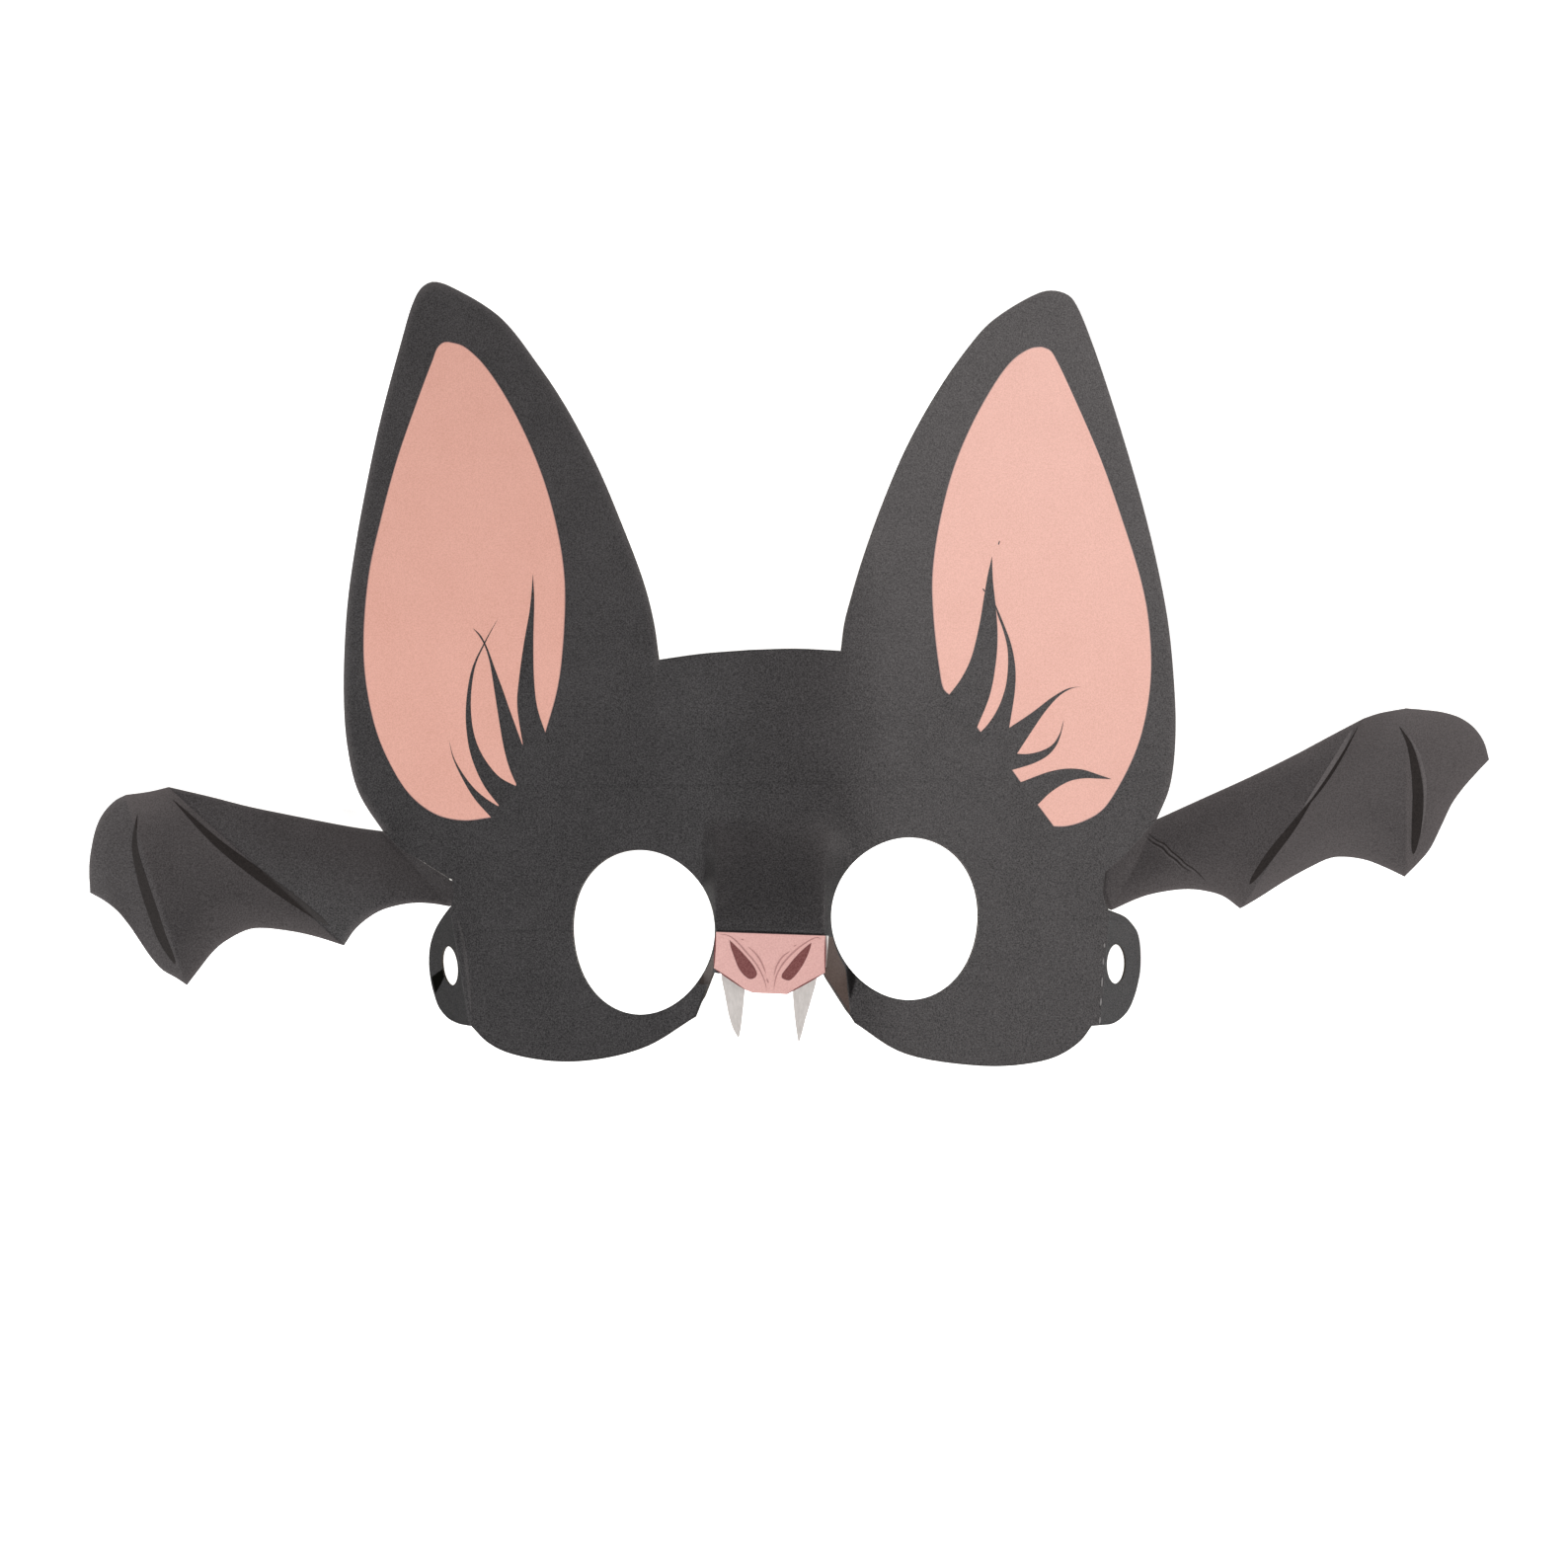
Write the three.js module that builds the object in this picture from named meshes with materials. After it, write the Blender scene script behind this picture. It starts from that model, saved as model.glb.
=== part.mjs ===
// Paper bat mask: a printed card face with two tall ears and cut-out eyes, two creased card wings,
// two folded tie tabs, and a raised pink snout with two fangs. It lies on its back with the front up.
// Frame in millimetres: X to the viewer's right, Y towards the ear tips, Z out of the front.
// While it is built the origin is the point between the eyes; the last lines move it under the middle.

import * as THREE from 'three';
import { mergeGeometries, mergeVertices } from 'three/addons/utils/BufferGeometryUtils.js';

const { degToRad, clamp, smoothstep } = THREE.MathUtils;

// Card
const CARD = 0.5; // thickness
const GLUE_GAP = 0.3; // clearance kept between two cards that are glued
const WELD = 1e-4; // points closer than this are one point

// Bowed form of the face
const CREST_HEIGHT = 49.6; // front of the crest line at the tabs, above the table
const BOW_RADIUS = 64; // bend across the middle
const BOW_SLOPE = degToRad(28); // slope of the flat sides beyond the bend
const CREST_LEAN = -0.05; // sideways run of the crest line for each millimetre up the face
const BACK_TILT = 0.05; // fall of the whole face towards the ears, for each millimetre
const TAB_LEVEL = -10; // place up the face where that fall is zero
const EAR_BEND = { from: 60, to: 153, fall: 6.9 }; // the ears curl back to meet the table

// Raised nose
const NOSE_RISE = 10; // snout above the crest
const BRIDGE_TOP = 26; // place up the face where the bridge starts to rise
const SNOUT_TOP = -1.8; // upper edge of the snout panel
const SNOUT_TILT = degToRad(12); // the panel falls back towards the chin
const WALL_LEFT = { top: -14, foot: -17 }; // nose walls: where they leave the snout and reach the cheek
const WALL_RIGHT = { top: 12, foot: 17.6 };

// Tie tabs
const TAB_HOLE = 4.75; // radius of a tie hole
const FOLD_GAP = 0.65; // clearance of a tab from its fold line

// Eye holes
const EYE_SWELL = 0.02; // the holes are ellipses swollen at three corners by this share of the radius

// Mesh fineness
const RINGS = 6; // rings of the face between an eye hole and the outline
const WING_ROWS = 5; // rows of a wing between its upper and lower edge
const TAB_STEPS = 30; // straight pieces of a tab's edge and of a whole turn of its hole

// Outline of each half of the face, as stretches between sharp corners.
// steps is the number of straight pieces that a stretch is drawn with.
const SEAM = { brow: [-5.8, 65.7], snout: [-0.8, -4.3], steps: 14 };

const FACE_LEFT = {
  hand: -1,
  eye: { x: -31.3, y: -1.4, rx: 17.05, ry: 19.8, lobe: degToRad(10) },
  stretches: [
    { name: 'brow', steps: 4, points: [SEAM.brow, [-17.5, 64.8], [-27.7, 63.4]] },
    {
      name: 'ear',
      steps: 40,
      points: [
        [-27.7, 63.4], [-29, 72.3], [-31.4, 81.7], [-36.8, 96], [-42.9, 110.3], [-50.5, 124.6],
        [-56.9, 134.3], [-66.5, 146.4], [-77.9, 153.7], [-81.1, 155], [-83.3, 155.1], [-85.7, 153.6],
        [-87.6, 150.1], [-90.7, 139.7], [-95.5, 121.6], [-98.8, 106.2], [-101.4, 91.9], [-103.4, 77.6],
        [-104.3, 62], [-104.2, 51], [-103.5, 43.3], [-101.7, 34.5], [-99.7, 29.8], [-94.6, 22.3],
      ],
    },
    { name: 'wing slit', steps: 4, points: [[-94.6, 22.3], [-90.8, 18.5], [-77.9, 10.6]] },
    { name: 'notch', steps: 2, points: [[-77.9, 10.6], [-77.3, 7.3], [-77.9, 4.3]] },
    { name: 'tab fold', steps: 4, points: [[-77.9, 4.3], [-73, -24.5]] },
    {
      name: 'cheek',
      steps: 15,
      points: [
        [-73, -24.5], [-69, -28.4], [-63.2, -31.1], [-48.8, -32.8], [-31.8, -29.4], [-18.8, -21.7],
      ],
    },
    { name: 'strip end', steps: 4, points: [[-18.8, -21.7], [-14.6, -11]] },
    { name: 'wall end', steps: 2, points: [[-14.6, -11], [-13.5, -10.2], [-13, -4.2]] },
    { name: 'bridge end', steps: 3, points: [[-13, -4.2], SEAM.snout] },
  ],
};

const FACE_RIGHT = {
  hand: 1,
  eye: { x: 31.2, y: 1.7, rx: 17.65, ry: 19.6, lobe: degToRad(52) },
  stretches: [
    { name: 'brow', steps: 4, points: [SEAM.brow, [5.1, 66], [15.9, 65.5]] },
    {
      name: 'ear',
      steps: 40,
      points: [
        [15.9, 65.5], [16.8, 72.3], [18.3, 78], [20.8, 86.4], [25.9, 100.7], [32, 115], [40.1, 129.4],
        [46.9, 139.1], [52.2, 145.1], [62.3, 151.7], [66, 153], [69.1, 152.8], [71.6, 151.6],
        [73.4, 148.9], [77.1, 139.7], [83, 121.9], [89, 101.4], [92.5, 87.1], [95.2, 72.8], [96.6, 58.5],
        [97, 47.5], [96.4, 38], [95.2, 32], [92.3, 25.2],
      ],
    },
    { name: 'wing slit', steps: 4, points: [[92.3, 25.2], [84.4, 16.6], [79.6, 12.5]] },
    { name: 'notch', steps: 2, points: [[79.6, 12.5], [79.1, 7.1], [80.4, 3.4]] },
    { name: 'tab fold', steps: 4, points: [[80.4, 3.4], [78, -24.4]] },
    { name: 'tab step', steps: 1, points: [[78, -24.4], [76.3, -24.5]] },
    {
      name: 'cheek',
      steps: 14,
      points: [
        [76.3, -24.5], [73.5, -28.1], [67.8, -31.7], [59.1, -33.6], [47.6, -33.6], [30.5, -30.3],
        [19.2, -23.2],
      ],
    },
    { name: 'strip end', steps: 5, points: [[19.2, -23.2], [11.8, -11.5]] },
    { name: 'wall end', steps: 2, points: [[11.8, -11.5], [11.2, -10.6], [11.2, -4.4]] },
    { name: 'bridge end', steps: 3, points: [[11.2, -4.4], SEAM.snout] },
  ],
};

// Wings: upper and lower end of each crease with its heights above the table.
// The rows without heights are glued behind the face.
// topPath and lowPath are the points that the edge passes from the row before, none for a straight one.
const WING_LEFT = {
  hand: -1,
  creases: [
    { name: 'glued edge', top: [-88, 24], low: [-71, 6.5] },
    { name: 'root', steps: 2, top: [-94.6, 22.3], low: [-78.4, 4.3] },
    {
      name: 'inner bone',
      steps: 12,
      top: [-146.5, 33],
      low: [-104.1, -5.3],
      heights: [4, 5.5],
      topPath: [[-101.8, 23.3], [-119, 26.6], [-127.6, 28.4], [-136.2, 30.6]],
      lowPath: [[-82.5, 4.9], [-87, 5], [-91, 4.4], [-95.2, 3.1], [-98.9, 0.8], [-101.7, -1.8]],
    },
    {
      name: 'outer bone',
      steps: 12,
      top: [-156.7, 31.1],
      low: [-142, -14.9],
      heights: [7.5, 6],
      topPath: [[-151, 31.9]],
      lowPath: [
        [-110.4, -3.3], [-116.1, -2], [-124.3, -1.1], [-127.6, -1.6], [-133.3, -4.7], [-136.2, -7.4],
        [-139, -11],
      ],
    },
    {
      name: 'tip',
      steps: 12,
      top: [-165.6, 7.4],
      low: [-165.6, 7.4],
      heights: [2.5, 2.5],
      topPath: [[-159.2, 29.8], [-162.1, 26.9], [-164, 23.2], [-165.5, 16.5], [-165.8, 12.5]],
      lowPath: [
        [-144.7, -13.1], [-148, -11.2], [-150.8, -8.1], [-156.2, -0.3], [-159.1, 3.1], [-162.2, 5.5],
      ],
    },
  ],
};

const WING_RIGHT = {
  hand: 1,
  creases: [
    { name: 'glued edge', top: [85, 27], low: [74, 6] },
    { name: 'root', steps: 2, top: [92.3, 25.2], low: [81.2, 3.4] },
    {
      name: 'inner bone',
      steps: 12,
      top: [142.4, 49.6],
      low: [112.5, 3.6],
      heights: [4, 5],
      topPath: [[102.9, 30], [114.4, 35.2], [125.8, 40.8], [134.4, 45.4]],
      lowPath: [[88.3, 6.4], [94.3, 7.8], [99.5, 8.3], [103.8, 7.9], [108.3, 6.6]],
    },
    {
      name: 'outer bone',
      steps: 12,
      top: [152.4, 52],
      low: [152.1, 11.3],
      heights: [8, 7],
      topPath: [[146, 50.8]],
      lowPath: [
        [117.2, 6.4], [123, 10.1], [128.7, 13.3], [134.2, 15.8], [137.3, 16.1], [142.5, 15.4],
        [147.3, 13.6],
      ],
    },
    {
      name: 'tip',
      steps: 12,
      top: [172.8, 39.6],
      low: [172.8, 39.6],
      heights: [2.5, 2.5],
      topPath: [[157.3, 51.6], [161.7, 51], [165.9, 49.6], [169.1, 47.3], [171.5, 43.9]],
      lowPath: [[155.8, 15], [158.3, 18], [161.1, 23.6], [163.8, 29.1], [166.2, 32.4], [169, 35.6]],
    },
  ],
};

// Snout panel and the fangs behind its slanted lower edges, as seen from the front
const SNOUT = [[-13.9, -1.4], [-14.5, -9.7], [-5.1, -15.6], [3, -15.9], [11.8, -11], [12.1, -2.3]];
const FANG_LEFT = [
  [-12.1, -9.2], [-12.5, -11.7], [-11.5, -16.4], [-10.3, -21.5], [-9.3, -24.6], [-8.5, -26.2],
  [-7.9, -23.8], [-7.5, -19.9], [-7.1, -15.3], [-7, -12.6],
];
const FANG_RIGHT = [
  [4.7, -12.8], [4.4, -15.5], [4.6, -19.1], [5, -23.4], [5.7, -27.4], [6.4, -25.9], [7.45, -22.2],
  [8.7, -17.6], [10, -12.4], [9.7, -10],
];

// Tie tabs, each turned down by an angle below level. Places on a tab are the distance from its fold,
// then the place along the fold towards the ears. The edge runs from the fold's upper end to its lower end.
const TAB_LEFT = {
  angle: degToRad(65),
  hole: [6.4, 1.1],
  edge: [
    [FOLD_GAP, 14.5], [5.8, 13], [11, 11], [14.7, 8.7], [17.1, 6.1], [18.6, 2.7], [18.9, -0.9],
    [18.3, -4], [17, -7.1], [12.8, -10.6], [7.2, -12.9], [FOLD_GAP, -14.5],
  ],
};
const TAB_RIGHT = {
  angle: degToRad(60),
  hole: [6, 1.7],
  edge: [
    [FOLD_GAP, 14], [8.4, 13.5], [11.7, 12.5], [14.9, 10.9], [16.5, 8.9], [17.7, 5.5], [18.1, 1.9],
    [17.5, -1.6], [16.3, -4.9], [14.2, -8.1], [11.1, -10.6], [6.7, -12.7], [FOLD_GAP, -14],
  ],
};

// Printed colours
const blackInk = { color: 0x3e3c3c, roughness: 0.6, metalness: 0 };
const pinkInk = { color: 0xe6b2aa, roughness: 0.6, metalness: 0 };
const bareCard = { color: 0xd2cdca, roughness: 0.75, metalness: 0 };

// Fall of the bow below its crest at a distance across: a round bend, then a straight slope
function bow(across) {
  const distance = Math.abs(across);
  const bendHalf = BOW_RADIUS * Math.sin(BOW_SLOPE);
  const bend = Math.min(distance, bendHalf);
  const straight = distance - bend;
  return BOW_RADIUS - Math.sqrt(BOW_RADIUS ** 2 - bend ** 2) + straight * Math.tan(BOW_SLOPE);
}

// Height of the snout's back at a place up the face
function snoutHeight(y) {
  return CREST_HEIGHT + NOSE_RISE + Math.min(0, y - SNOUT_TOP) * Math.tan(SNOUT_TILT);
}

// Height of the front of the face card: the bow, the tilt and the curled ears, and the nose drawn out of it
function faceHeight(x, y) {
  const curl = clamp((y - EAR_BEND.from) / (EAR_BEND.to - EAR_BEND.from), 0, 2) ** 2 * EAR_BEND.fall;
  const sheet = CREST_HEIGHT - bow(x - CREST_LEAN * y) - BACK_TILT * (y - TAB_LEVEL) - curl;
  const wall = x < 0 ? WALL_LEFT : WALL_RIGHT;
  const overNose = clamp((wall.foot - x) / (wall.foot - wall.top), 0, 1);
  const downBridge = 1 - smoothstep(y, SNOUT_TOP, BRIDGE_TOP);
  return sheet + overNose * downBridge * (snoutHeight(y) - sheet);
}

// Triangles over rows of points. hand tells which way the rows turn, so that the front always faces out.
function gridSurface(rows, hand) {
  const columns = rows[0].length;
  const index = [];
  for (let i = 0; i + 1 < rows.length; i += 1) {
    for (let j = 0; j + 1 < columns; j += 1) {
      const a = i * columns + j;
      const b = a + 1;
      const c = a + columns;
      const d = c + 1;
      index.push(...(hand > 0 ? [a, c, b, b, c, d] : [a, b, c, b, d, c]));
    }
  }
  return new THREE.BufferGeometry().setFromPoints(rows.flat()).setIndex(index);
}

// Gives an open card surface its thickness: a second layer behind it and a wall along every free edge
function thicken(surface) {
  const front = mergeVertices(surface, WELD);
  front.computeVertexNormals();
  const { position, normal } = front.attributes;
  const count = position.count;
  const points = [];
  for (const depth of [0, CARD]) {
    for (let i = 0; i < count; i += 1) {
      const point = new THREE.Vector3().fromBufferAttribute(position, i);
      points.push(point.addScaledVector(new THREE.Vector3().fromBufferAttribute(normal, i), -depth));
    }
  }
  const triangles = [];
  const edges = new Map();
  for (let i = 0; i < front.index.count; i += 3) {
    const [a, b, c] = [0, 1, 2].map((corner) => front.index.getX(i + corner));
    if (a === b || b === c || c === a) continue;
    triangles.push(a, b, c, a + count, c + count, b + count);
    for (const [from, to] of [[a, b], [b, c], [c, a]]) edges.set(`${from} ${to}`, [from, to]);
  }
  for (const [from, to] of edges.values()) {
    if (edges.has(`${to} ${from}`)) continue;
    triangles.push(to, from, from + count, to, from + count, to + count);
  }
  return new THREE.BufferGeometry().setFromPoints(points).setIndex(triangles);
}

// Smooth line through points, straight for two
function smoothLine(points) {
  const knots = points.map(([x, y]) => new THREE.Vector3(x, y, 0));
  return new THREE.CatmullRomCurve3(knots, false, 'centripetal');
}

// Points along a half outline, closed by the seam down the middle of the face
function halfOutline(half) {
  const points = [];
  const seam = { points: [SEAM.snout, SEAM.brow], steps: SEAM.steps };
  for (const { points: corners, steps } of [...half.stretches, seam]) {
    points.push(...smoothLine(corners).getPoints(steps).slice(0, steps));
  }
  return [...points, points[0]];
}

// Front of one half of the face: straight spokes from the edge of the eye hole to the outline
function halfFace(half) {
  const { x, y, rx, ry, lobe } = half.eye;
  const rows = halfOutline(half).map((end) => {
    const spoke = new THREE.Vector2(end.x - x, end.y - y);
    const swell = 1 + EYE_SWELL * Math.cos(3 * (spoke.angle() - lobe));
    const hole = spoke.clone().multiplyScalar(swell / Math.hypot(spoke.x / rx, spoke.y / ry));
    return Array.from({ length: RINGS + 1 }, (_, ring) => {
      const place = hole.clone().lerp(spoke, ring / RINGS);
      return new THREE.Vector3(x + place.x, y + place.y, faceHeight(x + place.x, y + place.y));
    });
  });
  return gridSurface(rows, half.hand);
}

// Front height at the ends of a crease: its own heights, or flat against the back of the face
function creaseHeights({ top, low, heights }) {
  const behindFace = (CARD + GLUE_GAP) / Math.cos(BOW_SLOPE);
  return heights ?? [top, low].map(([x, y]) => faceHeight(x, y) - behindFace);
}

// Front of a wing: panels between creases, each ruled from its upper edge to its lower edge
function wingSurface({ hand, creases }) {
  const rows = [];
  for (let i = 1; i < creases.length; i += 1) {
    const [before, after] = [creases[i - 1], creases[i]];
    const topEdge = smoothLine([before.top, ...(after.topPath ?? []), after.top]);
    const lowEdge = smoothLine([before.low, ...(after.lowPath ?? []), after.low]);
    const [startTop, startLow] = creaseHeights(before);
    const [endTop, endLow] = creaseHeights(after);
    for (let step = i === 1 ? 0 : 1; step <= after.steps; step += 1) {
      const along = step / after.steps;
      const top = topEdge.getPointAt(along);
      const low = lowEdge.getPointAt(along);
      const topHeight = THREE.MathUtils.lerp(startTop, endTop, along);
      const lowHeight = THREE.MathUtils.lerp(startLow, endLow, along);
      const upper = new THREE.Vector3(top.x, top.y, topHeight);
      const lower = new THREE.Vector3(low.x, low.y, lowHeight);
      const rulePoint = (_, row) => upper.clone().lerp(lower, row / WING_ROWS);
      rows.push(Array.from({ length: WING_ROWS + 1 }, rulePoint));
    }
  }
  return gridSurface(rows, -hand);
}

// Flat card cut along straight lines, drawn as seen from the front, laid in the tilted plane of the snout
function snoutPlaneCard(outline) {
  const flat = outline.map(([x, y]) => new THREE.Vector2(x, (y - SNOUT_TOP) / Math.cos(SNOUT_TILT)));
  return new THREE.ExtrudeGeometry(new THREE.Shape(flat), { depth: CARD, bevelEnabled: false });
}

// Flat tab with a tie hole. X runs from the fold to the end, Y along the fold, front z 0.
function tabCard(edge, [holeX, holeY]) {
  const corners = edge.map(([x, y]) => new THREE.Vector2(x, y));
  const shape = new THREE.Shape(corners);
  const holeClockwise = !THREE.ShapeUtils.isClockWise(corners); // the other way round from the edge
  shape.holes.push(new THREE.Path().absarc(holeX, holeY, TAB_HOLE, 0, 2 * Math.PI, holeClockwise));
  const cut = { depth: CARD, bevelEnabled: false, curveSegments: TAB_STEPS };
  return new THREE.ExtrudeGeometry(shape, cut).translate(0, 0, -CARD);
}

function mesh(name, geometry, finish) {
  const piece = new THREE.Mesh(geometry, new THREE.MeshStandardMaterial(finish));
  piece.name = name;
  return piece;
}

// Tab hung on the fold line of a half face, turned down about it, and stretched to just meet the table
function tab(name, half, { angle, hole, edge }) {
  const [upper, lower] = half.stretches
    .find((stretch) => stretch.name === 'tab fold')
    .points.map(([x, y]) => new THREE.Vector3(x, y, faceHeight(x, y)));
  const alongFold = upper.clone().sub(lower).normalize();
  const outward = new THREE.Vector3(half.hand * Math.cos(angle), 0, -Math.sin(angle));
  const reach = outward.addScaledVector(alongFold, -outward.dot(alongFold)).normalize();
  const fold = half.hand > 0 ? alongFold : alongFold.clone().negate();
  const front = reach.clone().cross(fold);
  const middle = upper.clone().lerp(lower, 0.5);
  const drop = middle.z - CARD * front.z;
  const line = smoothLine(edge.map(([away, along]) => [away, half.hand * along])).getPoints(TAB_STEPS);
  const stretch = Math.min(...line.map(({ x, y }) => (drop + y * fold.z) / (-reach.z * x)));
  const outline = line.map(({ x, y }) => [x * stretch, y]);
  const piece = mesh(name, tabCard(outline, [hole[0], half.hand * hole[1]]), blackInk);
  piece.rotation.setFromRotationMatrix(new THREE.Matrix4().makeBasis(reach, fold, front));
  piece.position.copy(middle);
  return piece;
}

const faceSurface = mergeGeometries([halfFace(FACE_LEFT), halfFace(FACE_RIGHT)]);
const faceCard = mesh('face_card', thicken(faceSurface), blackInk);
const wingLeft = mesh('wing_left', thicken(wingSurface(WING_LEFT)), blackInk);
const wingRight = mesh('wing_right', thicken(wingSurface(WING_RIGHT)), blackInk);
const tabLeft = tab('tab_left', FACE_LEFT, TAB_LEFT);
const tabRight = tab('tab_right', FACE_RIGHT, TAB_RIGHT);

// The snout lies on the end of the bridge and on both nose walls, and the fangs are glued behind it
const nose = new THREE.Group();
nose.position.set(0, SNOUT_TOP, snoutHeight(SNOUT_TOP) + GLUE_GAP / Math.cos(SNOUT_TILT));
nose.rotation.x = SNOUT_TILT;
const fangDepth = -GLUE_GAP - CARD;
const fangLeft = mesh('fang_left', snoutPlaneCard(FANG_LEFT).translate(0, 0, fangDepth), bareCard);
const fangRight = mesh('fang_right', snoutPlaneCard(FANG_RIGHT).translate(0, 0, fangDepth), bareCard);
nose.add(mesh('snout', snoutPlaneCard(SNOUT), pinkInk), fangLeft, fangRight);

// The finished mask stands with the middle of its box over the origin and its lowest edge on the table
const mask = new THREE.Group();
mask.add(faceCard, tabLeft, tabRight, wingLeft, wingRight, nose);
mask.updateMatrixWorld(true);
const box = new THREE.Box3().setFromObject(mask, true);
const middle = box.getCenter(new THREE.Vector3());
mask.position.set(-middle.x, -middle.y, -box.min.z);

export default mask;
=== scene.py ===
from math import cos, radians, sin, tan

import bpy
import numpy as np
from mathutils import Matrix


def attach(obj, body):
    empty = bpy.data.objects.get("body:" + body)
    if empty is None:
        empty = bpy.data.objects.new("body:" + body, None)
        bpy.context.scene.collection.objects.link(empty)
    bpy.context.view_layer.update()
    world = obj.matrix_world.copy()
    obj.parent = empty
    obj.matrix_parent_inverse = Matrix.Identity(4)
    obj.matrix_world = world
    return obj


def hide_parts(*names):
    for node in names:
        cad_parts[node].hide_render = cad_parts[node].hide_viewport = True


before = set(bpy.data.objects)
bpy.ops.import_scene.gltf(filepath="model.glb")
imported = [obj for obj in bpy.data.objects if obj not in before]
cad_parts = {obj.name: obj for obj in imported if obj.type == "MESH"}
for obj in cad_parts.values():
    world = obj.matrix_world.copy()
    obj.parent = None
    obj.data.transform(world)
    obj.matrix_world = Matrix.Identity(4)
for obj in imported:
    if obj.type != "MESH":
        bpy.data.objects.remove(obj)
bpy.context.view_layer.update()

# Face card
# The main sheet of the mask: half-millimetre card printed black in front and bare behind, die-cut to the
# brow, ears, cheeks and eye holes, bowed across the face and folded up into the nose. Sizes are millimetres
# from the point between the eyes: x to the viewer's right, y to the ears, z off the table.

BETWEEN_EYES = np.array([-3.499, -60.632, 0.0])  # where that point lies in the frame
CARD = 0.5
GLUE_GAP = 0.3
BODY = "root"

CREST_HEIGHT = 49.6
BOW_RADIUS = 64.0
BOW_SLOPE = radians(28)
CREST_LEAN = -0.05  # how far the crest of the bow goes to the right for each step up the face
BACK_TILT = 0.05  # slope at which the face falls back towards the ears
TAB_LEVEL = -10.0  # place up the face that this fall is counted from
EAR_BEND = {"start": 60.0, "end": 153.0, "fall": 6.9}
NOSE_RISE = 10.0
BRIDGE_TOP = 26.0
SNOUT_TOP = -1.8
SNOUT_TILT = radians(12)
NOSE_WALLS = {"left": {"top": -14.0, "foot": -17.0}, "right": {"top": 12.0, "foot": 17.6}}
FOLD_ROUNDING = 0.06  # share of a nose wall's width that its two folds are rounded over

BROW_SEAM = (-5.8, 65.7)
SNOUT_SEAM = (-0.8, -4.3)
CURVE_SAMPLES = 24  # points worked out between two knots of a smooth line
OUTLINE_STEP = 1.1
NOSE_STEP = 0.5
FACE_RINGS = 34
WELD_DIGITS = 3  # points that agree to this many digits of a millimetre are one point
SHARP_FOLD = radians(50)  # a sharper fold is shaded as a crease
EDGE_REACH = 3.0  # the mark of nearness to a cut edge starts this far from it

# Stretches of the outline between sharp corners, from the brow round to the snout
FACE_HALVES = {
    "left": {
        "eye": {"centre": (-31.55, -1.5), "radii": (17.05, 19.6), "lobe": radians(10)},
        "brow": [BROW_SEAM, (-17.5, 64.8), (-27.7, 63.4)],
        "ear": [
            (-27.7, 63.4), (-29.0, 72.3), (-31.4, 81.7), (-36.8, 96.0), (-42.9, 110.3), (-50.5, 124.6),
            (-56.9, 134.3), (-66.5, 146.4), (-77.9, 153.7), (-81.1, 155.0), (-83.3, 155.1), (-85.7, 153.6),
            (-87.6, 150.1), (-90.7, 139.7), (-95.5, 121.6), (-98.8, 106.2), (-101.4, 91.9), (-103.4, 77.6),
            (-104.3, 62.0), (-104.2, 51.0), (-103.5, 43.3), (-101.7, 34.5), (-99.7, 29.8), (-94.6, 22.3),
        ],
        "wing slit": [(-94.6, 22.3), (-90.8, 18.5), (-85.4, 15.2)],
        "slit end": [(-85.4, 15.2), (-77.9, 10.6)],
        "notch": [(-77.9, 10.6), (-77.3, 7.3), (-77.9, 4.3)],
        "tab fold": [(-77.9, 4.3), (-73.0, -24.5)],
        "cheek": [
            (-73.0, -24.5), (-69.0, -28.4), (-63.2, -31.1), (-48.8, -32.8), (-31.8, -29.4), (-18.8, -21.7),
        ],
        "strip end": [(-18.8, -21.7), (-14.6, -11.0)],
        "wall end": [(-14.6, -11.0), (-12.75, -11.2), (-12.9, -8.0), (-13.0, -4.2)],
        "bridge end": [(-13.0, -4.2), SNOUT_SEAM],
    },
    "right": {
        "eye": {"centre": (31.43, 1.7), "radii": (17.65, 19.35), "lobe": radians(52)},
        "brow": [BROW_SEAM, (5.1, 66.0), (15.9, 65.5)],
        "ear": [
            (15.9, 65.5), (16.8, 72.3), (18.3, 78.0), (20.8, 86.4), (25.9, 100.7), (32.0, 115.0),
            (40.1, 129.4), (46.9, 139.1), (52.2, 145.1), (62.3, 151.7), (66.0, 153.0), (69.1, 152.8),
            (71.6, 151.6), (73.4, 148.9), (77.1, 139.7), (83.0, 121.9), (89.0, 101.4), (92.5, 87.1),
            (95.2, 72.8), (96.6, 58.5), (97.0, 47.5), (96.4, 38.0), (95.2, 32.0), (92.3, 25.2),
        ],
        "wing slit": [(92.3, 25.2), (84.4, 16.6), (79.6, 12.5)],
        "notch": [(79.6, 12.5), (79.1, 7.1), (80.4, 3.4)],
        "tab fold": [(80.4, 3.4), (78.0, -24.4)],
        "tab step": [(78.0, -24.4), (76.3, -24.5)],
        "cheek": [
            (76.3, -24.5), (73.5, -28.1), (67.8, -31.7), (59.1, -33.6), (47.6, -33.6), (30.5, -30.3),
            (19.2, -23.2),
        ],
        "strip end": [(19.2, -23.2), (11.8, -11.5)],
        "wall end": [(11.8, -11.5), (11.2, -10.6), (11.2, -4.4)],
        "bridge end": [(11.2, -4.4), SNOUT_SEAM],
    },
}
EYE_SWELL = 0.02  # the eye holes are ellipses swollen at three corners by this share of the radius
EYE_CORNERS = 3
NOSE_STRETCHES = ("strip end", "wall end", "bridge end")

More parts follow.
